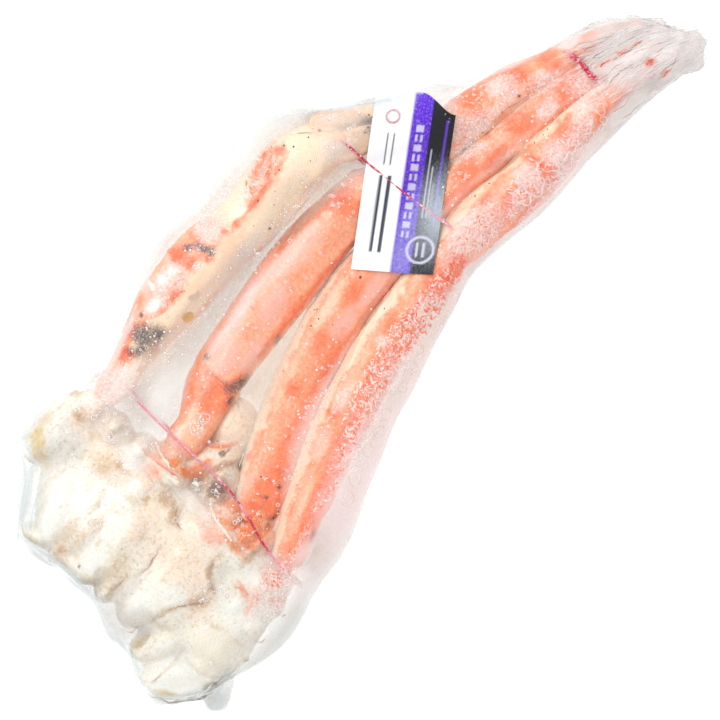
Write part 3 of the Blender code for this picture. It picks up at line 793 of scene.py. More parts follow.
def shoulderMesh(look):
    shells = bmesh.new()
    shells.from_mesh(skin.data)
    for (x, y), (a, b) in look["trims"]:
        everything = shells.verts[:] + shells.edges[:] + shells.faces[:]
        cut = bmesh.ops.bisect_plane(shells, geom=everything, plane_co=(x * mm, y * mm, 0),
                                     plane_no=(a, b, 0), clear_outer=True)
        rim = [part for part in cut["geom_cut"] if isinstance(part, bmesh.types.BMEdge)]
        bmesh.ops.holes_fill(shells, edges=rim)
    shells.normal_update()
    moved = [(vertex, vertex.co - vertex.normal * look["coreSunk"] * mm) for vertex in shells.verts]
    for vertex, place in moved:
        vertex.co = place
    core = np.array([vertex.co for vertex in shells.verts]) / mm
    sway = look["trimWander"] * roughNoise(core, 15.0, 2, 140)
    for (x, y), (a, b) in look["trims"]:
        near = rise((core[:, 0] - x) * a + (core[:, 1] - y) * b, -16.0, 0.0)
        core[:, 0] += a * near * sway
        core[:, 1] += b * near * sway
        core[:, 2] *= 1.0 - 0.22 * near ** 2
    for vertex, place in zip(shells.verts, core):
        vertex.co = place * mm
    tops = topHeights(skinTree, [(row[0], row[1]) for row in look["lumps"]])
    for (x, y, long, wide, turn, sunk), top in zip(look["lumps"], tops):
        made = bmesh.ops.create_icosphere(shells, subdivisions=4, radius=1.0)
        high = max(top - sunk, 16.0) / 2.0
        c = math.cos(math.radians(turn))
        s = math.sin(math.radians(turn))
        for vertex in made["verts"]:
            a = vertex.co.x * long
            b = vertex.co.y * wide
            vertex.co = Vector((x + a * c - b * s, y + a * s + b * c,
                                high + vertex.co.z * high)) * mm
    mesh = bpy.data.meshes.new("shoulder")
    shells.to_mesh(mesh)
    shells.free()
    piece = bpy.data.objects.new("shoulder", mesh)
    bpy.context.scene.collection.objects.link(piece)
    fuse(piece, look["voxel"], 2)
    points = pointsOf(piece)
    normals = normalsOf(piece)
    relief = 0.7 * roughNoise(points / mm, 12.0, 3, 3) + 0.3 * roughNoise(points / mm, 4.0, 3, 8)
    for x, y, long, wide, turn, depth in look["hollows"]:
        dent = spotMask(points, ((x, y, long, wide, turn),), 0.6)
        relief -= depth * rise(dent, 0.2, 1.0) * rise(normals[:, 2], 0.0, 0.4)
    inFan = rise(spotMask(points, (look["fan"][:5],), 0.8), 0.42, 0.58)
    lean = (points[:, 0] * 0.55 + points[:, 1]) / mm
    lean += 1.6 * softNoise(points / mm, 7.0, 4)
    ridges = np.sin(lean * 2.0 * math.pi / look["fan"][5] / 2.4)
    relief += inFan * rise(normals[:, 2], 0.2, 0.6) * (0.12 * ridges - 0.3)
    relief -= 0.6 * lineMask(points, look["grooves"]) * rise(normals[:, 2], 0.0, 0.4)
    points = points + normals * (relief * mm)[:, None]
    points = keepUnder(points, skinTree, look["cover"] * mm)
    setPoints(piece, points)
    upper = rise(normals[:, 2], -0.3, 0.2)
    for key in ("white", "tan", "olive", "peach", "salmon", "orange", "greyAndShade", "umberAndShade"):
        mark(piece, key, spotMask(points, look[key]) * upper)
    # Painted shade: the grooves are darkened along their length.
    mark(piece, "creaseShade", 0.5 * lineMask(points, look["grooves"]) * upper)
    mark(piece, "dark", spotMask(points, look["dark"]) * upper)
    mark(piece, "fan", inFan * upper)
    mark(piece, "streak", inFan * (0.5 + 0.5 * ridges) * upper)
    return piece


meatLook = {
    "cream": linear(246, 242, 230),
    "darkCream": linear(238, 227, 206),
    "white": linear(249, 249, 241),
    "fan": linear(240, 227, 204),
    "speckle": linear(220, 208, 186),
    "tan": linear(212, 182, 140),
    "olive": linear(220, 194, 128),
    # painted highlight on the orange meat
    "orangeHighlight": linear(253, 182, 104),
    "umberAndShade": linear(198, 148, 108),
    "peach": linear(252, 226, 202),
    "salmon": linear(246, 172, 142),
    "orange": linear(250, 130, 56),
    "greyAndShade": linear(222, 216, 208),
    "creaseShade": linear(190, 154, 116),
    "dark": linear(116, 84, 74),
    "shade": linear(224, 204, 178),
    "roughness": 0.38,
}


def meatMaterial(look):
    material, tree, shader = newMaterial("shoulderMeat")
    cloud = noiseOf(tree, 75.0, 5.0, 0.62)
    fibre = noiseOf(tree, 620.0, 4.0, 0.65)
    soft = math2(tree, "MULTIPLY", math2(tree, "SUBTRACT", cloud, 0.48, True), 4.0, True)
    colour = mixColour(tree, soft, look["cream"], look["darkCream"])
    # Painted highlights: amber streaks on the orange meat stand for its gloss.
    glow = noiseOf(tree, 330.0, 5.0, 0.7, ((1.0, 2.6, 1.0), (0, 0, -0.9)))
    glow = math2(tree, "MULTIPLY", math2(tree, "SUBTRACT", glow, 0.48, True), 7.0, True)
    tones = {key: look[key] for key in look if key not in ("orange", "roughness")}
    tones["orange"] = mixColour(tree, glow, look["orange"], look["orangeHighlight"])
    # Some of these tones are painted shade: grey and umber in hollows, olive in one hollow and the brown of the
    # grooves; the rest are the meat's own colours.
    for key, scale, rag, sharp, most in (("peach", 160.0, 1.4, 1.0, 0.8),
                                         ("white", 200.0, 1.6, 1.2, 0.85),
                                         ("greyAndShade", 160.0, 1.2, 1.1, 0.8),
                                         ("tan", 620.0, 3.0, 1.0, 0.55),
                                         ("olive", 520.0, 2.2, 1.1, 0.8),
                                         ("salmon", 420.0, 2.2, 1.1, 0.85),
                                         ("umberAndShade", 460.0, 2.8, 1.0, 0.6),
                                         ("orange", 380.0, 2.2, 1.3, 0.9),
                                         ("creaseShade", 700.0, 2.6, 1.4, 0.6),
                                         ("dark", 380.0, 1.8, 1.2, 0.85)):
        amount = math2(tree, "MULTIPLY", raggedMask(tree, key, scale, rag, sharp), most)
        colour = mixColour(tree, amount, colour, tones[key])
    speckle = noiseOf(tree, 560.0, 6.0, 0.8)
    speckle = math2(tree, "MULTIPLY", math2(tree, "SUBTRACT", speckle, 0.5, True), 6.5, True)
    smooth = math2(tree, "SUBTRACT", 1.0, math2(tree, "MULTIPLY", attributeOf(tree, "white"), 0.6), True)
    speckle = math2(tree, "MULTIPLY", speckle, smooth)
    colour = mixColour(tree, speckle, colour, look["speckle"], "MULTIPLY")
    threads = noiseOf(tree, 210.0, 6.0, 0.7, ((1.0, 3.2, 1.0), (0, 0, 0.5)))
    vein = math2(tree, "MULTIPLY", math2(tree, "SUBTRACT", threads, 0.56, True), 0.9, True)
    colour = mixColour(tree, vein, colour, look["tan"], "MULTIPLY")
    colour = mixColour(tree, math2(tree, "MULTIPLY", attributeOf(tree, "fan"), 0.9), colour, look["fan"])
    streak = math2(tree, "MULTIPLY", attributeOf(tree, "streak"), math2(tree, "ADD", cloud, 0.1), True)
    colour = mixColour(tree, streak, colour, look["white"])
    colour = mixColour(tree, math2(tree, "MULTIPLY", attributeOf(tree, "shade"), 0.42), colour,
                       look["shade"], "MULTIPLY")
    tree.links.new(colour, shader.inputs["Base Color"])
    rough = math2(tree, "ADD", math2(tree, "MULTIPLY", fibre, 0.25), look["roughness"] - 0.12)
    tree.links.new(rough, shader.inputs["Roughness"])
    shader.inputs["Subsurface Weight"].default_value = 0.15
    shader.inputs["Subsurface Radius"].default_value = (0.004, 0.003, 0.0022)
    shader.inputs["Subsurface Scale"].default_value = 1.0
    shader.inputs["Coat Weight"].default_value = 0.5
    shader.inputs["Coat Roughness"].default_value = 0.16
    bumpInto(tree, shader, math2(tree, "ADD", fibre, threads), 0.6, 0.0006)
    return material


shoulder = finishPiece(shoulderMesh(shoulderLook), meatMaterial(meatLook))
print("shoulder:", len(shoulder.data.vertices), "points")


def joinedTree(pieces):
    points = []
    faces = []
    for piece in pieces:
        base = len(points)
        points.extend(pointsOf(piece).tolist())
        for face in piece.data.polygons:
            faces.append([index + base for index in face.vertices])
    return BVHTree.FromPolygons(points, faces)


contents = joinedTree(limbPieces + [shoulder])
for piece in limbPieces + [shoulder]:
    mark(piece, "shade", shadeOf(pointsOf(piece), normalsOf(piece), contents, 0.009, 9, 5))
print("contents shaded")


# ---- veins, tendons and crevice lines, the dark crevice lines being painted shade

veinLook = {
    "step": 0.7,
    "sides": 8,
    "jag": 0.45,
    "leastHeight": 4.0,           # lower than this the line has left the surface
    "underFilm": 0.3,
    # The brown lines are painted shade along crevices, grooves and edges where parts meet.
    # tone, radius, then the points of the line over the surface
    "lines": (("creaseShade", 0.24, ((-162, -12.8), (-158, -13.4), (-151, -12), (-147, -11.4))),
              ("creaseShade", 0.34, ((-134, -13.5), (-133.4, -9.5), (-130, -6.5), (-127, -5.5))),
              ("creaseShade", 0.20, ((-136, -9.6), (-133, -9), (-128, -8))),
              ("creaseShade", 0.50, ((-147, -45), (-146.4, -42), (-144.6, -40))),
              ("creaseShade", 0.46, ((-144, -38.6), (-141, -36.6), (-139, -35.2), (-137, -36))),
              ("creaseShade", 0.34, ((-188.6, -25.6), (-186.6, -27.2), (-182, -28), (-178.6, -30.4))),
              ("creaseShade", 0.16, ((-178, -30.5), (-172, -33), (-168, -33.5), (-164, -35.4))),
              ("creaseShade", 0.26, ((-168, -33), (-161, -38), (-156, -43), (-152.6, -45.6))),
              ("creaseShade", 0.16, ((-200, -49.6), (-194, -50.8))),
              ("creaseShade", 0.20, ((-186, -51.4), (-180, -51))),
              ("creaseShade", 0.30, ((-165, -76.6), (-163, -78), (-161, -77.6))),
              ("creaseShade", 0.26, ((-154, -74), (-152, -77.4), (-149, -77.8))),
              ("creaseShade", 0.24, ((-137, -74), (-135.6, -77), (-134, -77.6))),
              ("creaseShade", 0.30, ((-179.6, 12.6), (-178.8, 11.6))),
              ("creaseShade", 0.22, ((-178, -7.2), (-173, -8), (-169, -7.6))),
              # painted shade: dark lines along the film's folded edge at the lower left
              ("rim", 0.75, ((-209, -53), (-206, -56.5), (-204.6, -60.6), (-204.8, -64), (-202, -69.4),
                             (-198, -72), (-190, -74.2), (-180, -76.2), (-172, -78))),
              ("rim", 0.36, ((-204, -63), (-200, -69), (-192, -72.6), (-182, -74.6))),
              ("creaseShade", 0.26, ((-200, -66), (-194, -71), (-186, -73.4), (-178, -74.6), (-170, -77))),
              ("white", 0.55, ((-202, -64), (-197, -69.4), (-188, -72.4), (-180, -74))),
              ("white", 1.20, ((-123, -36), (-121.8, -30), (-120, -22), (-117.4, -17), (-114.8, -14.6))),
              ("white", 0.80, ((-110.6, 24), (-113, 18), (-114.6, 13), (-115.6, 8))),
              ("white", 1.40, ((-119.8, 8), (-119.4, 3), (-119.6, -1.4))),
              ("salmon", 0.55, ((-117.6, 25), (-117.8, 17), (-117.2, 9), (-116.4, 2))),
              ("salmon", 0.75, ((-97, 4), (-94, -1), (-91, -4.4), (-87.6, -7))),
              ("salmon", 0.40, ((-103, 4.8), (-98, 4.6), (-95, 4.6))),
              ("salmon", 0.34, ((-139.6, -50), (-138, -54), (-137.6, -58))),
              ("maroon", 1.15, ((-110.6, -10.4), (-109.6, -14), (-108.2, -18.6))),
              ("creaseShade", 0.26, ((-99, -10), (-95, -12), (-92, -13.4))),
              ("creaseShade", 0.34, ((-96.6, -6), (-95, -5), (-93, -6.4))),
              ("creaseShade", 0.20, ((-78, -3), (-75, 0.4), (-72, 5))),
              ("creaseShade", 0.20, ((-108, -10), (-100, -9.8))),
              ("salmon", 0.26, ((-114, -27), (-108, -29), (-106, -33))),
              ("white", 0.5, ((-118, -38), (-116, -40), (-112, -41))),
              # painted highlight: a short white glare on the orange root
              ("white", 0.9, ((-106.6, -36.4), (-104.8, -36.8))),
              ("maroon", 0.10, ((-66.6, 32), (-68, 26), (-69, 20), (-69.4, 14))),
              ("salmon", 0.20, ((-33, 35), (-32.6, 27))),
              ("creaseShade", 0.28, ((104, -2.4), (112, -2.6), (119, -3.2), (127, -6.2), (133, -7.4))),
              ("creaseShade", 0.26, ((117, -23), (125, -24), (133, -24.4), (142, -26.6), (149, -27.6))),
              ("creaseShade", 0.26, ((60, -16), (72, -15.4), (84, -17.4), (96, -20))),
              ("creaseShade", 0.16, ((-12, 8.2), (4, 9.2), (12, 9.0))),
              ("creaseShade", 0.30, ((60, 50), (66, 46), (72, 41.4))),
              ("creaseShade", 0.24, ((41, 69.6), (46, 64), (52, 58))),
              ("creaseShade", 0.24, ((52, 58), (57, 53), (61, 49)))),
}


def evenLine(line, step):
    line = np.array(line, float)
    chord = np.r_[0.0, np.cumsum(np.linalg.norm(np.diff(line, axis=0), axis=1))]
    at = np.linspace(0.0, chord[-1], max(int(chord[-1] / step), 3))
    return np.stack([np.interp(at, chord, line[:, k]) for k in range(line.shape[1])], 1)


def tubeRings(line, radii, sides, closed):
    # Rings of points about a line in space, for a tube along it.
    if closed:
        tangent = np.roll(line, -1, axis=0) - np.roll(line, 1, axis=0)
    else:
        tangent = np.gradient(line, axis=0)
    tangent /= np.linalg.norm(tangent, axis=1)[:, None]
    guide = np.cross(tangent, np.array([0.92, 0.31, 0.24]))
    guide /= np.linalg.norm(guide, axis=1)[:, None]
    other = np.cross(tangent, guide)
    angle = np.linspace(0.0, 2.0 * math.pi, sides, endpoint=False)
    ring = guide[:, None, :] * np.cos(angle)[None, :, None] + other[:, None, :] * np.sin(angle)[None, :, None]
    return (line[:, None, :] + ring * np.asarray(radii)[:, None, None]).reshape(-1, 3)


def tubeFaces(rings, sides, closed, base=0):
    faces = []
    for ring in range(rings if closed else rings - 1):
        after = (ring + 1) % rings
        for side in range(sides):
            beside = (side + 1) % sides
            faces.append((base + ring * sides + side, base + ring * sides + beside,
                          base + after * sides + beside, base + after * sides + side))
    if not closed:
        faces.append(tuple(base + side for side in range(sides))[::-1])
        faces.append(tuple(base + (rings - 1) * sides + side for side in range(sides)))
    return faces


def drapedTubes(name, tree, lines, look, tones):
    # Cords laid half sunk along a surface, thinning to their ends.
    points = []
    faces = []
    marks = {tone: [] for tone in tones}
    for number, (tone, radius, line) in enumerate(lines):
        flat = evenLine(line, look["step"])
        spread = np.c_[flat, np.full(len(flat), number * 7.0)]
        flat = flat + look["jag"] * np.stack([softNoise(spread, 2.4, 301), softNoise(spread, 2.4, 302)], 1)
        high = topHeights(tree, flat)
        off = high < look["leastHeight"]
        high[off] = topHeights(skinTree, flat[off]) - look["underFilm"]
        kept = high > look["leastHeight"]
        if kept.sum() < 3:
            continue
        flat = flat[kept]
        spread = spread[kept]
        high = np.convolve(np.pad(high[kept], 1, "edge"), (0.25, 0.5, 0.25), "valid")
        ends = np.sin(np.linspace(0.08, math.pi - 0.08, len(flat))) ** 0.5
        radii = radius * ends * np.clip(0.85 + 0.9 * softNoise(spread, 2.2, 303), 0.08, 1.5)
        made = tubeRings(np.c_[flat, high + radius * 0.15], radii, look["sides"], False)
        faces.extend(tubeFaces(len(flat), look["sides"], False, len(points)))
        points.extend(made.tolist())
        for other in tones:
            marks[other].extend([1.0 if other == tone else 0.0] * len(made))
    piece = newPiece(name, np.array(points) * mm, faces)
    for tone in tones:
        mark(piece, tone, marks[tone])
    return piece


veinTones = {
    "white": linear(254, 248, 238),
    # the brown is painted shade for crevice lines
    "creaseShade": linear(158, 116, 80),
    # grey for painted shade along the film's folded edge
    "rim": linear(150, 146, 138),
    "salmon": linear(238, 124, 96),
    "maroon": linear(112, 16, 30),
}


def veinMaterial(look):
    material, tree, shader = newMaterial("tendonsAndVeins")
    grain = noiseOf(tree, 600.0, 3.0, 0.6)
    colour = mixColour(tree, grain, look["white"], linear(246, 226, 204))
    for tone in ("creaseShade", "rim", "salmon", "maroon"):
        colour = mixColour(tree, attributeOf(tree, tone), colour, look[tone])
    colour = mixColour(tree, math2(tree, "MULTIPLY", grain, 0.35), colour, linear(246, 226, 204))
    tree.links.new(colour, shader.inputs["Base Color"])
    shader.inputs["Roughness"].default_value = 0.4
    shader.inputs["Coat Weight"].default_value = 0.4
    bumpInto(tree, shader, grain, 0.3, 0.0003)
    return material


veins = finishPiece(drapedTubes("veins", contents, veinLook["lines"], veinLook, list(veinTones)),
                    veinMaterial(veinTones))
print("veins:", len(veins.data.vertices), "points")


# ---- ice

iceLook = {
    "under": 0.35 * mm,           # below the film
    "milkDepth": 5.0,             # mm of ice that hides most of what lies behind it
    "clearDepth": 1.7,            # mm that stay clear
    "most": 0.93,
    "warm": linear(218, 210, 202),
    "cool": linear(236, 235, 232),
    "pink": linear(247, 228, 226),
    "frost": linear(250, 234, 230),
    "frostShade": linear(226, 206, 202),
    "white": linear(252, 250, 248),
    "peach": linear(238, 218, 201),
    "warmSpots": ((-60, 43, 50, 8, 0), (0, 40, 70, 7, 0), (60, 36, 30, 8, -25), (-105, -12, 14, 9, 0),
                  (-108, 38, 14, 8, 0)),
    "peachSpots": ((-55, 3, 46, 8, 8), (0, 9, 60, 4, 0), (110, -3, 30, 5, -10), (100, -20, 40, 4, -8),
                   (-95, -4, 20, 12, 0), (-110, 10, 10, 12, 0), (-112, -34, 12, 14, 0),
                   (30, 40, 26, 4, 0), (-60, 49, 30, 4, 3), (62, 54, 13, 9, -40)),
    "tail": linear(234, 226, 222),
    "tailSpots": ((177, -29, 17, 22, -35), (193, -42, 22, 20, -45), (163, -6, 7, 2.6, -32),
                  (156, -48, 16, 5, -8)),
    # painted shade: a darker grey along the outline and margins of the pack
    "greyAndShade": linear(224, 223, 221),
    "greyAndShadeSpots": ((-60, 82, 30, 3, 5), (8, 86, 24, 4, 2), (46, 82, 12, 6, -38), (62, 67, 16, 5, -55),
                  (90, 44, 30, 5, -35), (-170, 55, 20, 5, 33), (-100, 64, 22, 2, 6),
                  (-150, -85, 24, 4, 0), (130, 13, 24, 3, -26)),
    # smooth milkiness over what lies below
    "veilSpots": ((20, -44, 40, 5, 10), (-30, -51, 40, 5, 14), (80, -46.5, 40, 4, -2), (125, -46, 30, 5, -4),
                  (-76, -63, 20, 4.6, 17), (-108, -67, 14, 4, 5),
                  (-60, 49, 34, 3.5, 3), (-24, 47, 20, 5, 0), (-62, 79, 40, 4, 8), (24, 80, 30, 4, 2),
                  (20, 42, 34, 3, 0), (50, 45, 8, 8, 0), (-104, 52, 14, 7, 0), (62, 52, 12, 6, -40),
                  (-138, 75, 17, 3.4, 0), (-45, 42, 26, 5, 2), (-36, 33, 24, 3, 4), (132, 12, 20, 2.5, -26)),
    "ochre": linear(214, 164, 100),
    "ochreSpots": ((-55, 49, 3.2, 2.3, -25),),
    # where it is clear enough to see right down
    "clearSpots": ((-110, -14, 8, 9, 0), (-98, -15, 9, 5, -10), (-105, -4, 14, 9, -35), (-112, -38, 15, 10, 0),
                   (21, 67, 16, 7, 5), (-122, -46, 10, 4, 0), (-112, 8, 8, 12, 0), (-84, 2, 12, 10, 0),
                   (-95, 15, 12, 8, 0), (-35, 70, 8, 9, 0), (-76, 60, 8, 9, 0), (-66, 10, 9, 6, -15),
                   (-64.5, 30.5, 4, 4, 0), (-27, 65, 7, 9, 20), (-90, 60, 8, 6, 0)),
    "orange": linear(240, 120, 70),
    "orangeSpots": ((180, -41.5, 2.6, 3.6, 40), (166, -25.4, 4.6, 1.0, -20), (175, -28.4, 4, 0.9, -18),
                    (183, -31, 3.4, 0.8, -20), (181, -50.6, 4.4, 0.9, -14), (158, -16, 4, 1.0, -20),
                    (161, -12, 3, 0.8, -30)),
    "pinkSpots": ((-60, -60, 60, 14, 14), (20, -45, 60, 12, 12), (110, -44, 60, 9, -2),
                  (-60, 74, 50, 12, 5), (140, 0, 30, 14, -30)),
    "frostSpots": ((-106, 56, 14, 8, 0), (62, -29, 20, 7, 0),
                   (100, -34, 6, 8, 0), (117, -36, 7, 8, 0), (126, 5, 8, 6, -25), (105, 2, 10, 4, -15),
                   (142, -10, 9, 5, -35), (132, -18, 6, 4, -10), (0, 74, 14, 3, 5),
                   (92, 0, 8, 5, -10), (150, -24, 5, 8, 0), (-14, 70, 8, 6, 0), (-48, 68, 8, 4, 0),
                  (-60, 65, 6, 3, 0), (86, -37, 11, 5, 0), (70, -35, 12, 5, 0), (131, -38, 9, 5, -5),
                   (-130, -66, 16, 8, 0), (-8, -45, 26, 4, 10), (20, -38, 14, 7, 20),
                   (-40, -52, 20, 3, 12), (150, -32, 12, 6, -10), (98, 8, 8, 5, -10)),
    "whiteSpots": ((-49, 69.4, 3.4, 2.8, 0), (-43, 68.4, 2.6, 2.2, 0), (-55, 72.4, 1.2, 2.6, -20),
                   (-61, 65, 4.4, 2.6, 10), (98, 42, 20, 6, -35), (178, -33, 8, 3, -20),
                   (190, -46, 9, 4, -40)),
}


def iceMesh(look):
    piece = bpy.data.objects.new("ice", skin.data.copy())
    bpy.context.scene.collection.objects.link(piece)
    points = pointsOf(piece)
    normals = normalsOf(piece)
    dents = 0.12 * softNoise(points / mm, 3.0, 77) - look["under"] / mm
    points = points + normals * (dents * mm)[:, None]
    setPoints(piece, points)
    gap = np.array([contents.find_nearest(point)[3] for point in points.tolist()]) / mm
    milk = look["most"] * (1.0 - np.exp(-np.clip(gap - look["clearDepth"], 0, None) / look["milkDepth"]))
    mark(piece, "milk", milk)
    upper = rise(normals[:, 2], -0.3, 0.2)
    for key in ("warm", "peach", "pink", "frost", "tail", "greyAndShade", "veil", "orange", "white", "ochre", "clear"):
        mark(piece, key, spotMask(points, look[key + "Spots"]) * upper)
    return piece


def iceMaterial(look):
    material, tree, shader = newMaterial("milkyIce")
    cloud = noiseOf(tree, 60.0, 4.0, 0.6)
    grainy = noiseOf(tree, 800.0, 4.0, 0.7)
    swirl = noiseOf(tree, 330.0, 5.0, 0.68)
    colour = mixColour(tree, raggedMask(tree, "warm", 60.0, 0.6, 1.2), look["cool"], look["warm"])
    colour = mixColour(tree, raggedMask(tree, "peach", 60.0, 0.6, 1.2), colour, look["peach"])
    colour = mixColour(tree, raggedMask(tree, "pink", 60.0, 0.6, 1.2), colour, look["pink"])
    patches = raggedMask(tree, "frost", 420.0, 2.4, 1.3)
    grains = math2(tree, "MULTIPLY", math2(tree, "SUBTRACT", grainy, 0.4, True), 5.0, True)
    frostTone = mixColour(tree, grains, look["frostShade"], look["frost"])
    colour = mixColour(tree, patches, colour, frostTone)
    # Painted shade along the pack's outline.
    colour = mixColour(tree, raggedMask(tree, "greyAndShade", 60.0, 0.5, 1.2), colour, look["greyAndShade"])
    tail = raggedMask(tree, "tail", 60.0, 0.5, 1.4)
    colour = mixColour(tree, tail, colour, look["tail"])
    whites = raggedMask(tree, "white", 300.0, 1.6, 1.1)
    colour = mixColour(tree, whites, colour, look["white"])
    rusty = math2(tree, "MULTIPLY", raggedMask(tree, "orange", 500.0, 2.2, 1.6), 0.8)
    colour = mixColour(tree, rusty, colour, look["orange"])
    ochre = raggedMask(tree, "ochre", 500.0, 0.3, 4.0)
    colour = mixColour(tree, ochre, colour, look["ochre"])
    colour = mixColour(tree, math2(tree, "MULTIPLY", math2(tree, "SUBTRACT", swirl, 0.5, True), 0.5),
                       colour, look["warm"], "MULTIPLY")
    tree.links.new(colour, shader.inputs["Base Color"])
    milk = math2(tree, "MULTIPLY", attributeOf(tree, "milk"),
                 math2(tree, "ADD", math2(tree, "MULTIPLY", cloud, 0.4), 0.82))
    haze = math2(tree, "MULTIPLY", math2(tree, "SUBTRACT", grainy, 0.45, True), 0.18)
    frostCover = math2(tree, "ADD", math2(tree, "MULTIPLY", grains, 0.35), 0.35)
    cleared = math2(tree, "SUBTRACT", 1.0, math2(tree, "MULTIPLY", attributeOf(tree, "clear"), 0.85))
    alpha = math2(tree, "MULTIPLY", math2(tree, "ADD", milk, haze), cleared)
    alpha = math2(tree, "MAXIMUM", alpha, math2(tree, "MULTIPLY", patches, frostCover))
    alpha = math2(tree, "MAXIMUM", alpha, math2(tree, "MULTIPLY", ochre, 0.85))
    alpha = math2(tree, "MAXIMUM", alpha, math2(tree, "MULTIPLY", whites, 0.75))
    alpha = math2(tree, "MAXIMUM", alpha, math2(tree, "MULTIPLY", tail, 0.82))
    veil = math2(tree, "MULTIPLY", attributeOf(tree, "veil"), math2(tree, "ADD", cloud, 0.1))
    alpha = math2(tree, "MAXIMUM", alpha, veil)
    tree.links.new(math2(tree, "MINIMUM", alpha, 0.96, True), shader.inputs["Alpha"])
    rough = math2(tree, "ADD", math2(tree, "MULTIPLY", grainy, 0.3), 0.15)
    tree.links.new(rough, shader.inputs["Roughness"])
    bumpInto(tree, shader, math2(tree, "ADD", grainy, swirl), 0.4, 0.0005)
    return material


ice = finishPiece(iceMesh(iceLook), iceMaterial(iceLook))
ice.visible_shadow = False
iceTree = treeOf(ice)
print("ice:", len(ice.data.vertices), "points")


# ---- film

filmLook = {
    "lumps": 0.35,
    "lift": 0.2,
    "tailStart": 143,             # where the gathered end begins, along X
    "tailLong": 34,
    # (x, y of its middle, half width)
    "tailMiddle": ((120, -20, 34), (138, -22, 31), (165, -28, 24), (190, -38, 19), (209, -50, 10)),
    "foldDepth": 0.75,
    "folds": 9,
    # (half width, how high, then the points)
    "creases": ((0.9, 0.7, ((-191, 42), (-189, 25), (-188, 8), (-189, -12))),
                (0.8, 0.6, ((-187, 44), (-185, 28), (-185, 10), (-187, -8))),
                (0.9, 0.6, ((-190, 44), (-178, 50), (-166, 57), (-157, 67))),
                (0.8, 0.6, ((-184, 46), (-170, 52), (-158, 60))),
                (0.8, 0.6, ((-180, 42), (-168, 48), (-154, 53))),
                (1.0, 0.8, ((-207, -53), (-203, -64), (-196, -70), (-184, -74), (-168, -78))),
                (0.8, 0.6, ((-202, -58), (-198, -66), (-186, -71))),
                (0.7, 0.5, ((-196, -26), (-198, -38), (-203, -46))),
                (0.8, 0.5, ((-153, 74), (-146, 71), (-138, 74), (-128, 73))),
                (0.7, 0.5, ((-152, 70), (-155, 60), (-160, 52))),
                (0.8, 0.5, ((44, 78), (58, 66), (72, 54), (86, 42))),
                (0.8, 0.5, ((-186, -78), (-178, -74), (-170, -74))),
                (0.7, 0.4, ((-196, -14), (-198, -24), (-200, -34)))),
    # where the film lies in loose folds: x, y, half length, half width, turn
    "loose": ((-188, 18, 4.6, 30, 2), (-172, 52, 18, 4.6, 33), (-197, -24, 5, 15, -8), (-188, -80, 8, 5, 0),
              (-150, 72, 3, 8, -20), (-88, 66, 18, 2.4, 12), (64, 66, 22, 3.4, -52), (96, 38, 24, 3, -34)),
}


def filmMesh(look):
    piece = bpy.data.objects.new("film", skin.data.copy())
    bpy.context.scene.collection.objects.link(piece)
    points = pointsOf(piece)
    normals = normalsOf(piece)
    x = points[:, 0] / mm
    y = points[:, 1] / mm
    middle = np.array(look["tailMiddle"])
    across = (y - np.interp(x, middle[:, 0], middle[:, 1])) / np.interp(x, middle[:, 0], middle[:, 2])
    gathered = rise(x, look["tailStart"], look["tailStart"] + look["tailLong"])
    wander = 0.12 * softNoise(np.c_[x * 0.5, y, x * 0], 9.0, 91)
    ridges = np.sin((across + wander) * look["folds"] * math.pi)
    ridges += 0.5 * np.sin((across - wander) * look["folds"] * 2.3 * math.pi + 1.0)
    creases = np.zeros(len(points))
    rib = np.zeros(len(points))
    for half, high, line in look["creases"]:
        band = lineMask(points, ((half, line),))
        creases = np.maximum(creases, band)
        rib = np.maximum(rib, high * rise(band, 0.0, 1.2))
    move = look["foldDepth"] * gathered * ridges + rib
    move += look["lumps"] * softNoise(points / mm, 11.0, 90) * (1.0 - gathered)
    upper = rise(points[:, 2], 0.0008, 0.006)
    points = points + normals * (np.clip(move + look["lift"], 0.0, None) * mm * upper)[:, None]
    points[:, 2] = np.maximum(points[:, 2], 0.0002)
    setPoints(piece, points)
    mark(piece, "crease", creases * rise(normals[:, 2], -0.2, 0.2))
    mark(piece, "gathered", gathered)
    mark(piece, "loose", spotMask(points, look["loose"]) * rise(normals[:, 2], -0.2, 0.2))
    # Painted shade: where the film turns to the side it takes a darker tone and more cover.
    mark(piece, "rim", rise(1.0 - normals[:, 2], 0.45, 0.95) * upper)
    mark(piece, "across", across + wander)
    return piece


filmFinish = {
    "clear": linear(238, 240, 240),
    # painted shade in the gathered folds
    "foldShade": linear(214, 210, 212),
    "crease": linear(204, 213, 213),
    "loose": linear(214, 222, 220),
    # painted shade on the film's steep sides
    "rim": linear(208, 215, 215),
    # the frosted white of the gathered folds, with painted highlights on their ridges
    "foldWhiteAndHighlight": linear(250, 248, 247),
    "rustFold": linear(190, 120, 90),
    "haze": 0.02,
}


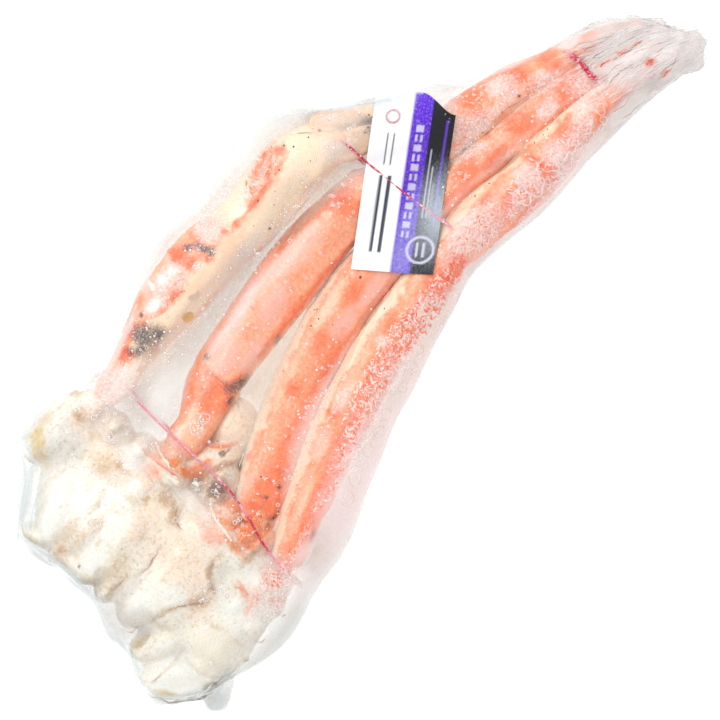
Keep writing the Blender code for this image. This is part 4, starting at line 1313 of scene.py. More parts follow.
def filmMaterial(look):
    material, tree, shader = newMaterial("clearFilm")
    place = addNode(tree, "ShaderNodeSeparateXYZ",
                    {0: addNode(tree, "ShaderNodeTexCoord").outputs["Object"]})
    folded = addNode(tree, "ShaderNodeCombineXYZ",
                     {0: math2(tree, "MULTIPLY", attributeOf(tree, "across"), 22.0),
                      1: math2(tree, "MULTIPLY", place.outputs[0], 55.0)})
    streaks = addNode(tree, "ShaderNodeTexNoise", {"Vector": folded.outputs[0], "Scale": 1.0,
                                                   "Detail": 5.0, "Roughness": 0.62}).outputs["Fac"]
    crinkle = noiseOf(tree, 150.0, 4.0, 0.55)
    gathered = attributeOf(tree, "gathered")
    # Painted shade and highlights: streaks across the gathered folds go from a grey shade to a lit white.
    light = math2(tree, "MULTIPLY", math2(tree, "SUBTRACT", streaks, 0.42), 5.0, True)
    greyAndShade = mixColour(tree, light, look["foldShade"], look["foldWhiteAndHighlight"])
    tone = mixColour(tree, gathered, look["clear"], greyAndShade)
    slack = math2(tree, "MULTIPLY", raggedMask(tree, "loose", 260.0, 1.8, 1.3), 0.45)
    tone = mixColour(tree, slack, tone, look["loose"])
    # Painted shade on the steep sides, also in the cover below.
    rim = attributeOf(tree, "rim")
    tone = mixColour(tree, rim, tone, look["rim"])
    crease = attributeOf(tree, "crease")
    tone = mixColour(tree, crease, tone, look["crease"])
    thread = math2(tree, "ABSOLUTE", math2(tree, "SUBTRACT", streaks, 0.6))
    thread = math2(tree, "SUBTRACT", 1.0, math2(tree, "MULTIPLY", thread, 45.0), True)
    thread = math2(tree, "MULTIPLY", math2(tree, "MULTIPLY", thread, gathered), 0.8)
    tone = mixColour(tree, thread, tone, look["rustFold"])
    tree.links.new(tone, shader.inputs["Base Color"])
    edge = addNode(tree, "ShaderNodeLayerWeight", {"Blend": 0.3}).outputs["Facing"]
    edge = math2(tree, "MULTIPLY", math2(tree, "POWER", edge, 2.5), 0.6)
    lines = math2(tree, "MULTIPLY", math2(tree, "ABSOLUTE", math2(tree, "SUBTRACT", streaks, 0.5)), 4.0, True)
    tail = math2(tree, "MULTIPLY", gathered, math2(tree, "ADD", math2(tree, "MULTIPLY", lines, 0.6), 0.08))
    alpha = math2(tree, "ADD", math2(tree, "ADD", edge, look["haze"]),
                  math2(tree, "ADD", tail, math2(tree, "MULTIPLY", crease, 0.4)), True)
    alpha = math2(tree, "ADD", alpha, math2(tree, "ADD", slack, math2(tree, "MULTIPLY", rim, 0.35)), True)
    tree.links.new(alpha, shader.inputs["Alpha"])
    rough = math2(tree, "ADD", math2(tree, "MULTIPLY", crinkle, 0.12), 0.06)
    tree.links.new(rough, shader.inputs["Roughness"])
    shader.inputs["IOR"].default_value = 1.5
    shader.inputs["Specular IOR Level"].default_value = 0.35
    height = math2(tree, "ADD", crinkle, math2(tree, "MULTIPLY", math2(tree, "MULTIPLY", streaks, gathered), 2.0))
    bumpInto(tree, shader, height, 0.35, 0.0009)
    return material


film = finishPiece(filmMesh(filmLook), filmMaterial(filmFinish))
film.visible_shadow = False
print("film:", len(film.data.vertices), "points")
bpy.data.objects.remove(skin, do_unlink=True)


# ---- label

# Fine folds of the gathered end, raised along the way the film is drawn.
foldLook = {
    "step": 0.8,
    "sides": 6,
    "jag": 0.7,
    "count": 150,
    "start": (148.0, 192.0),
    "length": (6.0, 26.0),
    "radius": (0.12, 0.34),
    "wave": 1.6,
    "leastHeight": 4.0,
    "underFilm": 0.3,
    # grey folds are painted shade between the ridges; white ones are frosted ridges with painted highlights
    "shares": (("white", 0.80), ("greyAndShade", 0.90), ("rust", 0.97), ("red", 1.0)),
    # some that are placed one by one: tone, radius, line
    "placed": (("red", 0.42, ((163, -24.4), (166, -25.2), (169.6, -26.6))),
               ("rust", 0.34, ((168, -26.4), (173, -28.4), (178, -30.4), (183, -31.4))),
               ("rust", 0.24, ((178, -30.8), (184, -31.4), (190, -33.4))),
               ("red", 0.40, ((176.6, -50.6), (180, -51.2), (184, -50.4))),
               ("rust", 0.26, ((182, -51.4), (187, -51), (192, -49.6))),
               ("red", 1.1, ((178, -40.6), (180, -41.6), (182, -41))),
               ("rust", 0.5, ((179.4, -40.4), (180.4, -41.2), (181.2, -40.6))),
               ("rust", 0.22, ((161, -19), (167, -20), (173, -22))),
               ("rust", 0.20, ((150, -49), (158, -50.4), (166, -52))),
               ("greyAndShade", 0.4, ((191, -20), (196, -27), (200, -36), (203, -46))),
               ("white", 0.5, ((170, -40), (176, -38.6), (181, -38.4), (186, -39.4))),
               ("white", 0.5, ((182, -45), (188, -44.6), (194, -46), (199, -48.6))),
               ("white", 0.45, ((171, -20.4), (178, -21), (186, -24), (192, -29))),
               ("rust", 0.30, ((160, -33.4), (168, -34), (174, -35.6))),
               ("rust", 0.30, ((186, -41.4), (192, -42.4), (197, -45)))),
    "tones": {"white": linear(255, 252, 250), "greyAndShade": linear(196, 190, 192), "rust": linear(166, 84, 54),
              "red": linear(226, 82, 50)},
    "seed": 23,
}


def foldMesh(look):
    chance = np.random.default_rng(look["seed"])
    middle = np.array(filmLook["tailMiddle"])
    rows = list(look["placed"])
    for number in range(look["count"]):
        start = chance.uniform(*look["start"])
        x = np.arange(start, min(start + chance.uniform(*look["length"]), 207.0), 2.0)
        if len(x) < 3:
            continue
        across = chance.uniform(-0.92, 0.92) + 0.05 * np.sin(x / chance.uniform(2.5, 6.0) + number)
        y = (np.interp(x, middle[:, 0], middle[:, 1])
             + across * np.interp(x, middle[:, 0], middle[:, 2]) * 0.8)
        pick = chance.random()
        tone = next(name for name, share in look["shares"] if pick <= share)
        radius = chance.uniform(*look["radius"]) * (0.8 if tone in ("rust", "red") else 1.0)
        rows.append((tone, radius, np.stack([x, y], 1)))
    return drapedTubes("gatheredFolds", iceTree, rows, look, list(look["tones"]))


def foldMaterial(look):
    material, tree, shader = newMaterial("gatheredFilm")
    tones = look["tones"]
    grain = noiseOf(tree, 500.0, 4.0, 0.65)
    colour = mixColour(tree, grain, tones["white"], linear(240, 236, 236))
    # Grey tubes are painted shade, white ones frosted ridges painted as highlights too.
    for tone in ("greyAndShade", "rust", "red"):
        colour = mixColour(tree, attributeOf(tree, tone), colour, tones[tone])
    tree.links.new(colour, shader.inputs["Base Color"])
    tree.links.new(math2(tree, "ADD", math2(tree, "MULTIPLY", grain, 0.8), 0.2, True), shader.inputs["Alpha"])
    shader.inputs["Roughness"].default_value = 0.25
    return material


gatheredFolds = finishPiece(foldMesh(foldLook), foldMaterial(foldLook))
gatheredFolds.visible_shadow = False
print("folds:", len(gatheredFolds.data.vertices), "points")

labelLook = {
    "corner": (12.1, 4.4),        # the corner it is measured from
    "along": (0.8500, 0.5268),
    "across": (0.5850, -0.8110),
    "size": (87.0, 39.2),
    "cut": (0.55, 10.0),          # from this share of the width the far end slants back
    "cell": 0.6,
    "thickness": 0.12,
    "violet": (18.7, 28.0),       # across the label
    # generic bars: (start along, end along, start across, end across)
    "bars": ((9, 46, 7.2, 8.8), (9, 46, 11.2, 12.8), (51, 66, 8.0, 8.9), (51, 66, 11.0, 11.9)),
    "paleBars": ((27, 60, 29.8, 30.5), (27, 52, 31.6, 32.3), (27, 44, 33.2, 33.7),
                 (8.0, 15.0, 29.3, 30.6), (8.0, 15.0, 32.4, 33.7)),
    # blocks along the violet stripe: first, last, how far apart, how long
    "blocks": (17.0, 72.0, 4.6, 3.2),
    "lilacBars": ((24, 74, 35.2, 36.6),),
    "dot": (74.0, 9.6, 3.6, 2.6),     # red ring: place, outer and inner radius
    "ring": (11.5, 31.5, 6.9, 5.6),   # pale ring
}


def labelMesh(look):
    cell = look["cell"]
    columns = int(look["size"][0] / cell) + 1
    rows = int(look["size"][1] / cell) + 1
    across = np.linspace(0.0, look["size"][1], rows)
    share = across / look["size"][1]
    length = look["size"][0] - look["cut"][1] * rise(share, look["cut"][0], 1.0)
    along = np.linspace(0.0, 1.0, columns)[:, None] * length[None, :]
    wide = np.broadcast_to(across[None, :], along.shape)
    a = along.ravel()
    b = wide.ravel()
    x = look["corner"][0] + look["along"][0] * a + look["across"][0] * b
    y = look["corner"][1] + look["along"][1] * a + look["across"][1] * b
    z = topHeights(iceTree, np.stack([x, y], 1)).reshape(columns, rows)
    for turn in range(6):
        padded = np.pad(z, 1, "edge")
        z = (padded[:-2, 1:-1] + padded[2:, 1:-1] + padded[1:-1, :-2] + padded[1:-1, 2:]) / 4.0
    z = z.ravel() + 0.14
    top = np.stack([x, y, z + look["thickness"]], 1)
    bottom = np.stack([x, y, z], 1)
    points = np.concatenate([top, bottom]) * mm
    count = columns * rows
    faces = []
    for i in range(columns - 1):
        for j in range(rows - 1):
            here = i * rows + j
            faces.append((here, here + 1, here + rows + 1, here + rows))
            faces.append((count + here, count + here + rows, count + here + rows + 1, count + here + 1))
    rim = [i * rows for i in range(columns)]
    rim += [(columns - 1) * rows + j for j in range(1, rows)]
    rim += [i * rows + rows - 1 for i in range(columns - 2, -1, -1)]
    rim += [j for j in range(rows - 2, 0, -1)]
    for here, after in zip(rim, rim[1:] + rim[:1]):
        faces.append((here, after, count + after, count + here))
    piece = newPiece("label", points, faces, False)
    a = np.tile(a, 2)
    b = np.tile(b, 2)
    soft = cell * 0.5

    def bars(spans):
        total = np.zeros(len(a))
        for a0, a1, b0, b1 in spans:
            inside = np.clip((a - a0) / soft + 0.5, 0, 1) * np.clip((a1 - a) / soft + 0.5, 0, 1)
            inside *= np.clip((b - b0) / soft + 0.5, 0, 1) * np.clip((b1 - b) / soft + 0.5, 0, 1)
            total = np.maximum(total, inside)
        return total

    def ringAt(a0, b0, outer, inner):
        reach = np.hypot(a - a0, b - b0)
        return np.clip((outer - reach) / soft + 0.5, 0, 1) * np.clip((reach - inner) / soft + 0.5, 0, 1)

    pale = list(look["paleBars"])
    first, last, apart, long = look["blocks"]
    for number, a0 in enumerate(np.arange(first, last, apart)):
        if number % 2:
            pale.append((a0, a0 + long, 21.4, 25.2))
        else:
            pale.extend(((a0, a0 + long, 21.4, 22.6), (a0, a0 + long, 24.0, 25.2)))
    violet = np.clip((b - look["violet"][0]) / soft + 0.5, 0, 1)
    black = np.clip((b - look["violet"][1]) / soft + 0.5, 0, 1)
    mark(piece, "violet", violet)
    mark(piece, "black", black)
    mark(piece, "ink", bars(look["bars"]))
    mark(piece, "print", np.maximum(bars(pale), ringAt(*look["ring"])))
    mark(piece, "lilac", bars(look["lilacBars"]))
    mark(piece, "red", ringAt(*look["dot"]))
    frosted = np.exp(-((a - 29.0) / 19.0) ** 2 - ((b - 38.0) / 11.0) ** 2)
    faded = 0.8 * rise(a, 60, 84) * (1.0 - rise(b, 14, 22)) + frosted
    faded += 0.4 * np.exp(-((a - 6.0) / 16.0) ** 2 - ((b - 22.0) / 6.0) ** 2)
    mark(piece, "faded", faded)
    return piece


labelInk = {
    "paper": linear(250, 250, 252),
    "violet": linear(92, 24, 208),
    "black": linear(8, 12, 24),
    "ink": linear(60, 68, 82),
    "print": linear(222, 216, 240),
    "lilac": linear(112, 62, 214),
    "red": linear(205, 60, 80),
    "faded": linear(206, 216, 224),
    "rime": linear(226, 224, 238),
}


def labelMaterial(look):
    material, tree, shader = newMaterial("paperLabel")
    fleck = noiseOf(tree, 900.0, 3.0, 0.6)
    colour = mixColour(tree, attributeOf(tree, "ink"), look["paper"], look["ink"])
    colour = mixColour(tree, attributeOf(tree, "red"), colour, look["red"])
    colour = mixColour(tree, attributeOf(tree, "violet"), colour, look["violet"])
    colour = mixColour(tree, attributeOf(tree, "black"), colour, look["black"])
    colour = mixColour(tree, math2(tree, "MULTIPLY", attributeOf(tree, "lilac"), 0.8), colour, look["lilac"])
    colour = mixColour(tree, math2(tree, "MULTIPLY", attributeOf(tree, "print"), 0.82), colour, look["print"])
    wear = raggedMask(tree, "faded", 900.0, 1.2, 1.0)
    colour = mixColour(tree, math2(tree, "MULTIPLY", wear, 0.7), colour, look["faded"])
    rime = math2(tree, "MULTIPLY", math2(tree, "SUBTRACT", noiseOf(tree, 1300.0, 5.0, 0.75), 0.53, True),
                 9.0, True)
    rimed = math2(tree, "SUBTRACT", math2(tree, "MULTIPLY", attributeOf(tree, "violet"), 0.34),
                  math2(tree, "MULTIPLY", attributeOf(tree, "black"), 0.32))
    rime = math2(tree, "MULTIPLY", rime, rimed)
    colour = mixColour(tree, rime, colour, look["rime"])
    tree.links.new(colour, shader.inputs["Base Color"])
    tree.links.new(math2(tree, "ADD", math2(tree, "MULTIPLY", fleck, 0.2), 0.4), shader.inputs["Roughness"])
    shader.inputs["Specular IOR Level"].default_value = 0.15
    return material


label = finishPiece(labelMesh(labelLook), labelMaterial(labelInk))
print("label:", len(label.data.vertices), "points")


# ---- rubber bands

bandLook = {
    "step": 0.9,
    "sides": 10,
    "sunk": 0.3,
    "deepSunk": 4.5,
    "uneven": 0.34,
    # where frost hides the red
    "frosted": ((-101, 60, 6, 12, 0), (-119, -76, 8, 8, 0), (55, 62, 8, 12, 0), (58, -34, 6, 12, 0),
                (157, 2, 8, 10, 0), (158, -44, 10, 12, 0)),
    # radius, the line over the top, and spots where the red shows through frost
    "bands": ((0.62, ((-101, 56), (-101, 50), (-103, 30), (-104, 10), (-104.5, -5), (-106, -20),
                      (-109, -32), (-112, -40), (-115, -48), (-117, -55), (-119, -68), (-120, -76)),
               ((-111, -38, 3, 9, 20), (-114, -46, 3, 7, 0), (-106, -22, 2, 8, 0))),
              (0.68, ((55, 62), (55, 50), (56, 45), (56, 30), (56.5, 10), (57.5, -8), (58, -18),
                      (58, -38)),
               ((56, 34, 3, 14, 0), (57, 10, 3, 9, 0))),
              (1.35, ((157, 0), (159, -8), (159, -15), (157, -25), (158, -31), (158, -46)),
               ((158.5, -19, 5, 12, 0),))),
}


def bandMesh(look):
    points = []
    faces = []
    shown = []
    for radius, line, spots in look["bands"]:
        flat = evenLine(line, look["step"])
        top = topHeights(iceTree, flat)
        flat = flat[top > 2.0 * radius]
        top = top[top > 2.0 * radius]
        flat[:, 0] += look["uneven"] * radius * softNoise(np.c_[flat, top], 2.0, 75)
        hidden = spotMask(np.c_[flat, top] * mm, look["frosted"], 0.5)
        over = np.c_[flat, top - look["sunk"] - look["deepSunk"] * hidden]
        under = np.c_[flat, np.full(len(flat), radius + 0.5)][::-1]
        loop = np.concatenate([over, under])
        for turn in range(4):
            loop = (np.roll(loop, 1, axis=0) + loop * 2.0 + np.roll(loop, -1, axis=0)) / 4.0
        loop = evenLine(np.concatenate([loop, loop[:1]]), look["step"])[:-1]
        base = len(points)
        swell = 1.0 + look["uneven"] * radius * softNoise(loop, 1.6, 71)
        made = tubeRings(loop, radius * swell, look["sides"], True) * mm
        points.extend(made.tolist())
        faces.extend(tubeFaces(len(loop), look["sides"], True, base))
        shown.append(spotMask(made, spots, 0.5))
    piece = newPiece("rubberBands", points, faces)
    mark(piece, "shown", np.concatenate(shown))
    mark(piece, "lost", spotMask(np.array(points), look["frosted"], 0.5))
    return piece


bandTone = {
    "red": linear(206, 18, 62),
    "faded": linear(232, 140, 160),
    "frosted": linear(250, 226, 226),
}


def bandMaterial(look):
    material, tree, shader = newMaterial("redRubber")
    grain = noiseOf(tree, 700.0, 3.0, 0.6)
    colour = mixColour(tree, raggedMask(tree, "shown", 400.0, 0.8, 2.0), look["faded"], look["red"])
    chips = math2(tree, "MULTIPLY", math2(tree, "SUBTRACT", grain, 0.52, True), 5.0, True)
    colour = mixColour(tree, chips, colour, look["frosted"])
    colour = mixColour(tree, raggedMask(tree, "lost", 400.0, 0.8, 1.6), colour, look["frosted"])
    tree.links.new(colour, shader.inputs["Base Color"])
    shader.inputs["Roughness"].default_value = 0.45
    bumpInto(tree, shader, grain, 0.3, 0.0003)
    return material


bands = finishPiece(bandMesh(bandLook), bandMaterial(bandTone))
print("bands made")


# ---- bubbles and frost crystals

frostLook = {
    # (x, y, half length, half width, turn, how many, smallest and largest radius)
    "bubbles": ((-40, 44, 70, 7, 2, 60, 0.4, 0.9), (-110, 40, 16, 20, 0, 24, 0.5, 1.2),
                (-90, 52, 20, 8, 0, 20, 0.4, 0.9), (20, 45, 40, 8, 0, 50, 0.4, 0.8),
                (-30, 25, 60, 12, 5, 20, 0.5, 0.9), (-40, -10, 60, 10, 15, 18, 0.4, 0.8),
                (40, 28, 14, 12, 0, 24, 0.4, 0.8), (-130, 45, 16, 20, 0, 16, 0.6, 1.3),
                (110, 10, 18, 10, -20, 50, 0.3, 0.8), (80, -6, 24, 6, -8, 30, 0.4, 0.9),
                (-115, -20, 8, 18, 0, 30, 0.5, 1.1), (-148, -44, 10, 4, -30, 26, 0.4, 0.9),
                (-150, 8, 30, 12, 0, 16, 0.6, 1.4), (-145, -20, 30, 20, 0, 16, 0.6, 1.3),
                (68, 52, 16, 9, -35, 20, 0.6, 1.2), (-60, -30, 40, 10, 18, 34, 0.4, 1.0)),
    # (x, y, long radius, short radius, turn)
    "rings": ((-62, -60.5, 4.4, 3.0, 25), (-73, -65, 3.2, 2.2, 10), (-49, -57.5, 2.8, 2.0, 30),
              (-39, -56, 2.6, 1.8, 0), (-30, -53, 2.4, 1.6, 20), (-55, -54, 1.8, 1.3, 0),
              (-44, -52, 1.7, 1.2, 0), (-93.4, 12.2, 3.2, 2.8, 0), (-87.6, 12.0, 2.5, 2.2, 0),
              (-111, -13.4, 1.0, 0.8, 0), (-110.8, -15.6, 1.2, 1.0, 0), (99, -36, 5, 6, 0),
              (111, -36, 3.4, 4.4, 30), (118, -42, 4.6, 2.6, 20), (124, -43, 4.6, 2.4, 20),
              (108, -45, 3.4, 1.8, 0), (136, -38, 4.0, 2.6, 0), (91, -36, 3.6, 4.6, 0),
              (-188.4, -25.2, 1.3, 1.1, 0), (-158, 18.5, 2.4, 1.9, 0), (-123, 41, 2.2, 2.0, 0),
              (15, -50, 2.2, 1.4, 30), (-15, -51, 2.4, 1.5, 10), (-5, -50, 1.9, 1.2, 0),
              (35, -44, 2.2, 1.3, 20), (4, -46, 2.0, 1.3, 40), (-34, 61.4, 1.9, 1.3, 0)),
    # (x, y, half length, half width, turn, how many, smallest and largest length, lie in degrees)
    "flakes": ((-20, -38, 40, 6, 12, 300, 1.2, 3.6, 70), (20, -38, 26, 8, 8, 300, 1.2, 4.0, 60),
               (-60, -50, 30, 4, 16, 70, 1.2, 3.2, 80), (62, -30, 18, 8, 0, 120, 1.4, 3.6, 30),
               (100, -36, 20, 9, 0, 110, 1.6, 4.4, 100), (126, -38, 16, 6, -8, 60, 1.6, 4.0, 30),
               (-8, -48, 46, 4, 10, 120, 1.4, 3.6, 75), (120, 4, 16, 6, -20, 60, 1.0, 2.4, 20),
               (140, -12, 14, 6, -30, 60, 1.0, 2.6, 10), (-64, 68, 26, 5, 5, 60, 1.0, 2.6, 40),
               (12, 68, 26, 5, 6, 90, 1.0, 2.8, 20), (-122, -64, 12, 6, 0, 60, 1.2, 3.0, 80),
               (-42, -30, 20, 4, 14, 40, 1.2, 3.0, 60)),
    # petals of frost in a row: from, to, how many, smallest and largest radius
    "petals": (((-78, -59), (-8, -46), 20, 1.3, 2.5), ((-8, -45), (45, -40), 14, 1.2, 2.4),
               ((84, -45), (150, -41), 14, 1.6, 3.2), ((-140, -72), (-112, -68), 7, 1.2, 2.2)),
    # sparkling drops, white frost beads that are also painted highlights: x, y, half length, half width, turn, how
    # many
    "drops": ((-80, 54, 22, 8, 10, 110), (-40, 44, 60, 8, 2, 110), (-112, 50, 12, 22, 0, 100),
              (-135, 30, 16, 24, 0, 90), (20, 46, 34, 7, 0, 90), (-100, 10, 18, 22, 0, 70),
              (-60, 20, 34, 12, 10, 40), (30, 20, 26, 18, 0, 60), (-112, -30, 14, 20, 0, 60),
              (-155, -40, 16, 8, -30, 50), (-150, 20, 30, 20, 0, 60), (-70, -32, 34, 10, 24, 60),
              (-20, -14, 36, 10, 8, 50), (60, -14, 30, 12, -6, 60), (115, 2, 26, 12, -16, 90),
              (125, -22, 24, 10, -14, 60), (-122, -62, 12, 7, 0, 60), (10, -34, 40, 6, 6, 60),
              (95, 40, 14, 8, -30, 20), (60, 50, 14, 10, -40, 50), (-160, -60, 36, 14, -8, 40),
              (-30, 64, 26, 8, 0, 60)),
    "dropSize": (0.18, 0.62),
    # clusters of drops: x, y, how far they spread
    "glints": ((-79, -20.5, 1.7), (-91, -28.5, 1.3), (-105.5, -36.5, 1.7), (-84, 24.3, 1.1), (-73, 24.3, 1.3),
               (-84, 17.6, 1.1), (-90, -33, 1.0), (-54, -13.3, 1.2), (-35.5, -14, 1.2), (-93.4, 12.2, 2.6),
               (-87.6, 12, 2.0), (-86, -9.8, 1.0), (-158, 17.4, 1.2), (-130, 41, 1.6), (-123, 41, 1.4),
               (-128, 25, 1.6), (-134, 58, 1.3), (-123, 61, 1.6), (-24, 60, 1.6), (-34, 61.4, 1.2),
               (-51, -23, 1.2), (-14, 20, 0.8), (-4, 30, 0.8), (18, 44, 1.6), (-18, -24, 1.2), (8, 30, 0.8),
               (-40, 25, 1.0), (-55, 18, 0.9), (-146, 22, 1.3), (-110, -15, 1.4), (66, 20, 1.2),
               (70, -12, 1.2), (-125, -63, 1.5), (-155, -43, 1.6), (62, 58, 1.4), (45, 32, 1.2)),
    # dark specks in the shell: x, y, radius
    "specks": ((8.5, 59, 0.6), (26, 60.6, 0.6), (36.5, 66.4, 0.8), (39, 62.5, 0.7), (47, 60, 0.6),
               (53, 58.2, 1.1), (51.6, 61.4, 0.6), (57.4, 53, 0.6), (2, 46.6, 0.8), (12, 52, 0.4),
               (39, 52, 0.4), (-2, 53, 0.35), (17, 55.6, 0.35), (74, 45, 0.7), (66, 41, 0.7),
               (34.6, 74.6, 0.6), (37, 80, 0.4), (-66.6, 6.6, 0.7), (-90, -36.6, 0.9), (-91.6, -26.6, 0.6),
               (-103, -44, 0.7), (-65.6, -32.6, 0.5), (-46, -2.2, 0.5), (-55, 0.4, 0.4),
               (-24, 4.6, 0.5), (-14, 5.4, 0.6), (-2.4, 8.6, 0.5), (-1, 8.8, 0.4), (0.4, 9, 0.5),
               (-21, 1.6, 0.6), (-13, 4.6, 0.5), (-3, -17.6, 0.6), (8, -20, 0.5), (12, -1.6, 0.9),
               (-16, 1.0, 0.6), (-14, -6, 0.4), (77, -18.6, 0.6), (86, -20, 0.6), (101, 2.6, 0.8),
               (106.4, -0.6, 0.5), (115, 20, 0.4), (114.6, 16.6, 0.4), (126.4, 12, 0.6),
               (116.4, -2.8, 0.6), (127.6, -4, 1.0), (135.6, -8.2, 0.5), (139.4, -10.4, 0.6),
               (144, -9.6, 0.6), (126, -9.6, 0.5), (115, -24, 0.5), (124, -24.6, 0.5), (135.6, -25, 0.6),
               (109, -22, 0.5), (103, -1.8, 0.7), (120.6, -24.8, 0.4), (150, -18, 0.5), (-74, 76, 0.6),
               (-73, 74, 0.6), (-60, 67, 0.5), (-104, 57.4, 0.5), (-93, 58, 0.4), (90, -17, 0.5),
               (69, 41.6, 0.9), (71.4, 43.4, 0.8), (67, 45, 0.6), (64, 47.4, 0.7)),
    # coloured shell showing between the crystals: laid out as the flakes are
    "tufts": ((-20, -39, 40, 5, 12, 230, 1.0, 3.4, 70), (20, -36, 26, 6, 8, 200, 1.0, 3.6, 60),
              (-62, -50, 26, 4, 16, 90, 0.8, 2.6, 80), (-95, -57, 16, 4, 14, 50, 0.8, 2.2, 40),
              (62, -31, 16, 6, 0, 60, 0.8, 2.4, 30), (44, -34, 8, 4, 20, 70, 0.8, 2.8, 40), (88, -36, 12, 6, 0, 50, 0.8, 2.6, 60),
              (108, -38, 5, 6, 0, 40, 0.8, 2.6, 80), (21, 67, 14, 4.6, 8, 90, 0.8, 2.6, 20),
              (-52, 60, 6, 2.6, -8, 40, 0.6, 1.8, 0), (-89, 60, 4, 4, 0, 40, 0.6, 2.0, 60),
              (-36, 70, 4, 6, 0, 50, 0.6, 2.2, 80), (-125, -63, 4, 4, 0, 30, 0.6, 2.0, 40),
              (134, 3, 4, 5, 50, 30, 0.6, 1.8, 60), (-114, -39, 10, 5, 10, 70, 0.8, 2.6, 70),
              (-77, 70, 5, 1.6, 10, 20, 0.6, 1.6, 10)),
    "seed": 17,
}


def spotsIn(chance, row):
    # Even random places in a turned oval.
    x, y, long, wide, turn, count = row[:6]
    reach = np.sqrt(chance.random(count))
    angle = chance.random(count) * 2.0 * math.pi
    a = reach * np.cos(angle) * long
    b = reach * np.sin(angle) * wide
    c = math.cos(math.radians(turn))
    s = math.sin(math.radians(turn))
    return np.stack([x + a * c - b * s, y + a * s + b * c], 1)


def onLabel(x, y):
    dx = x - labelLook["corner"][0]
    dy = y - labelLook["corner"][1]
    a = dx * labelLook["along"][0] + dy * labelLook["along"][1]
    b = dx * labelLook["across"][0] + dy * labelLook["across"][1]
    return 0.0 < a < labelLook["size"][0] and 0.0 < b < labelLook["size"][1]


def onIce(x, y):
    hit = iceTree.ray_cast(Vector((x * mm, y * mm, 0.2)), Vector((0, 0, -1)))
    if hit[0] is None or hit[0].z < 0.002 or onLabel(x, y):
        return None, None
    return np.array(hit[0]) / mm, np.array(hit[1])


def frameAt(normal, turn):
    side = np.cross(normal, np.array([-math.sin(turn), math.cos(turn), 0.0]))
    side /= np.linalg.norm(side)
    return side, np.cross(normal, side)


def ringInto(points, faces, place, normal, long, short, turn, thick, around, sides, uneven=0.0):
    side, other = frameAt(normal, turn)
    base = len(points)
    angle = np.linspace(0.0, 2.0 * math.pi, around, endpoint=False)
    reach = 1.0 + uneven * (np.sin(3.0 * angle + place[0]) + 0.7 * np.sin(5.0 * angle + place[1]))
    line = place + ((np.cos(angle) * reach)[:, None] * side * long
                    + (np.sin(angle) * reach)[:, None] * other * short)
    points.extend(tubeRings(line, np.full(around, thick), sides, True).tolist())
    faces.extend(tubeFaces(around, sides, True, base))


def bubbleMesh(look):
    chance = np.random.default_rng(look["seed"])
    points = []
    faces = []
    for row in look["bubbles"]:
        for x, y in spotsIn(chance, row):
            place, normal = onIce(x, y)
            if place is None:
                continue
            size = row[6] + (row[7] - row[6]) * chance.random() ** 2
            ringInto(points, faces, place + normal * 0.05, normal, size, size * chance.uniform(0.8, 1.0),
                     chance.random() * 6.28, 0.12 + size * 0.09, 12, 5)
    for x, y, long, short, turn in look["rings"]:
        place, normal = onIce(x, y)
        if place is None:
            continue
        ringInto(points, faces, place - normal * 0.04, normal, long, short, math.radians(turn),
                 0.13 + long * 0.02, 30, 5, 0.13)
    for start, end, count, least, most in look["petals"]:
        for part in np.linspace(0.0, 1.0, count):
            x = start[0] + (end[0] - start[0]) * part + chance.normal() * 1.2
            y = start[1] + (end[1] - start[1]) * part + chance.normal() * 1.8
            place, normal = onIce(x, y)
            if place is None:
                continue
            size = chance.uniform(least, most)
            ringInto(points, faces, place - normal * 0.04, normal, size, size * chance.uniform(0.55, 0.9),
                     chance.random() * 6.28, 0.17, 22, 6, 0.12)
    return newPiece("bubbles", np.array(points) * mm, faces)


def domeInto(points, faces, place, normal, radius, turn, high=0.6):
    side, other = frameAt(normal, turn)
    base = len(points)
    around = 7
    angle = np.linspace(0.0, 2.0 * math.pi, around, endpoint=False)
    for reach, lift in ((1.0, -0.15), (0.95, 0.3), (0.55, 0.8)):
        ring = (np.cos(angle)[:, None] * side + np.sin(angle)[:, None] * other) * reach * radius
        points.extend((place + ring + normal * lift * radius * high).tolist())
    points.append((place + normal * radius * high).tolist())
    for level in range(2):
        for k in range(around):
            after = (k + 1) % around
            faces.append((base + level * around + k, base + level * around + after,
                          base + (level + 1) * around + after, base + (level + 1) * around + k))
    for k in range(around):
        faces.append((base + 2 * around + k, base + 2 * around + (k + 1) % around, base + 3 * around))
    faces.append(tuple(base + k for k in range(around))[::-1])


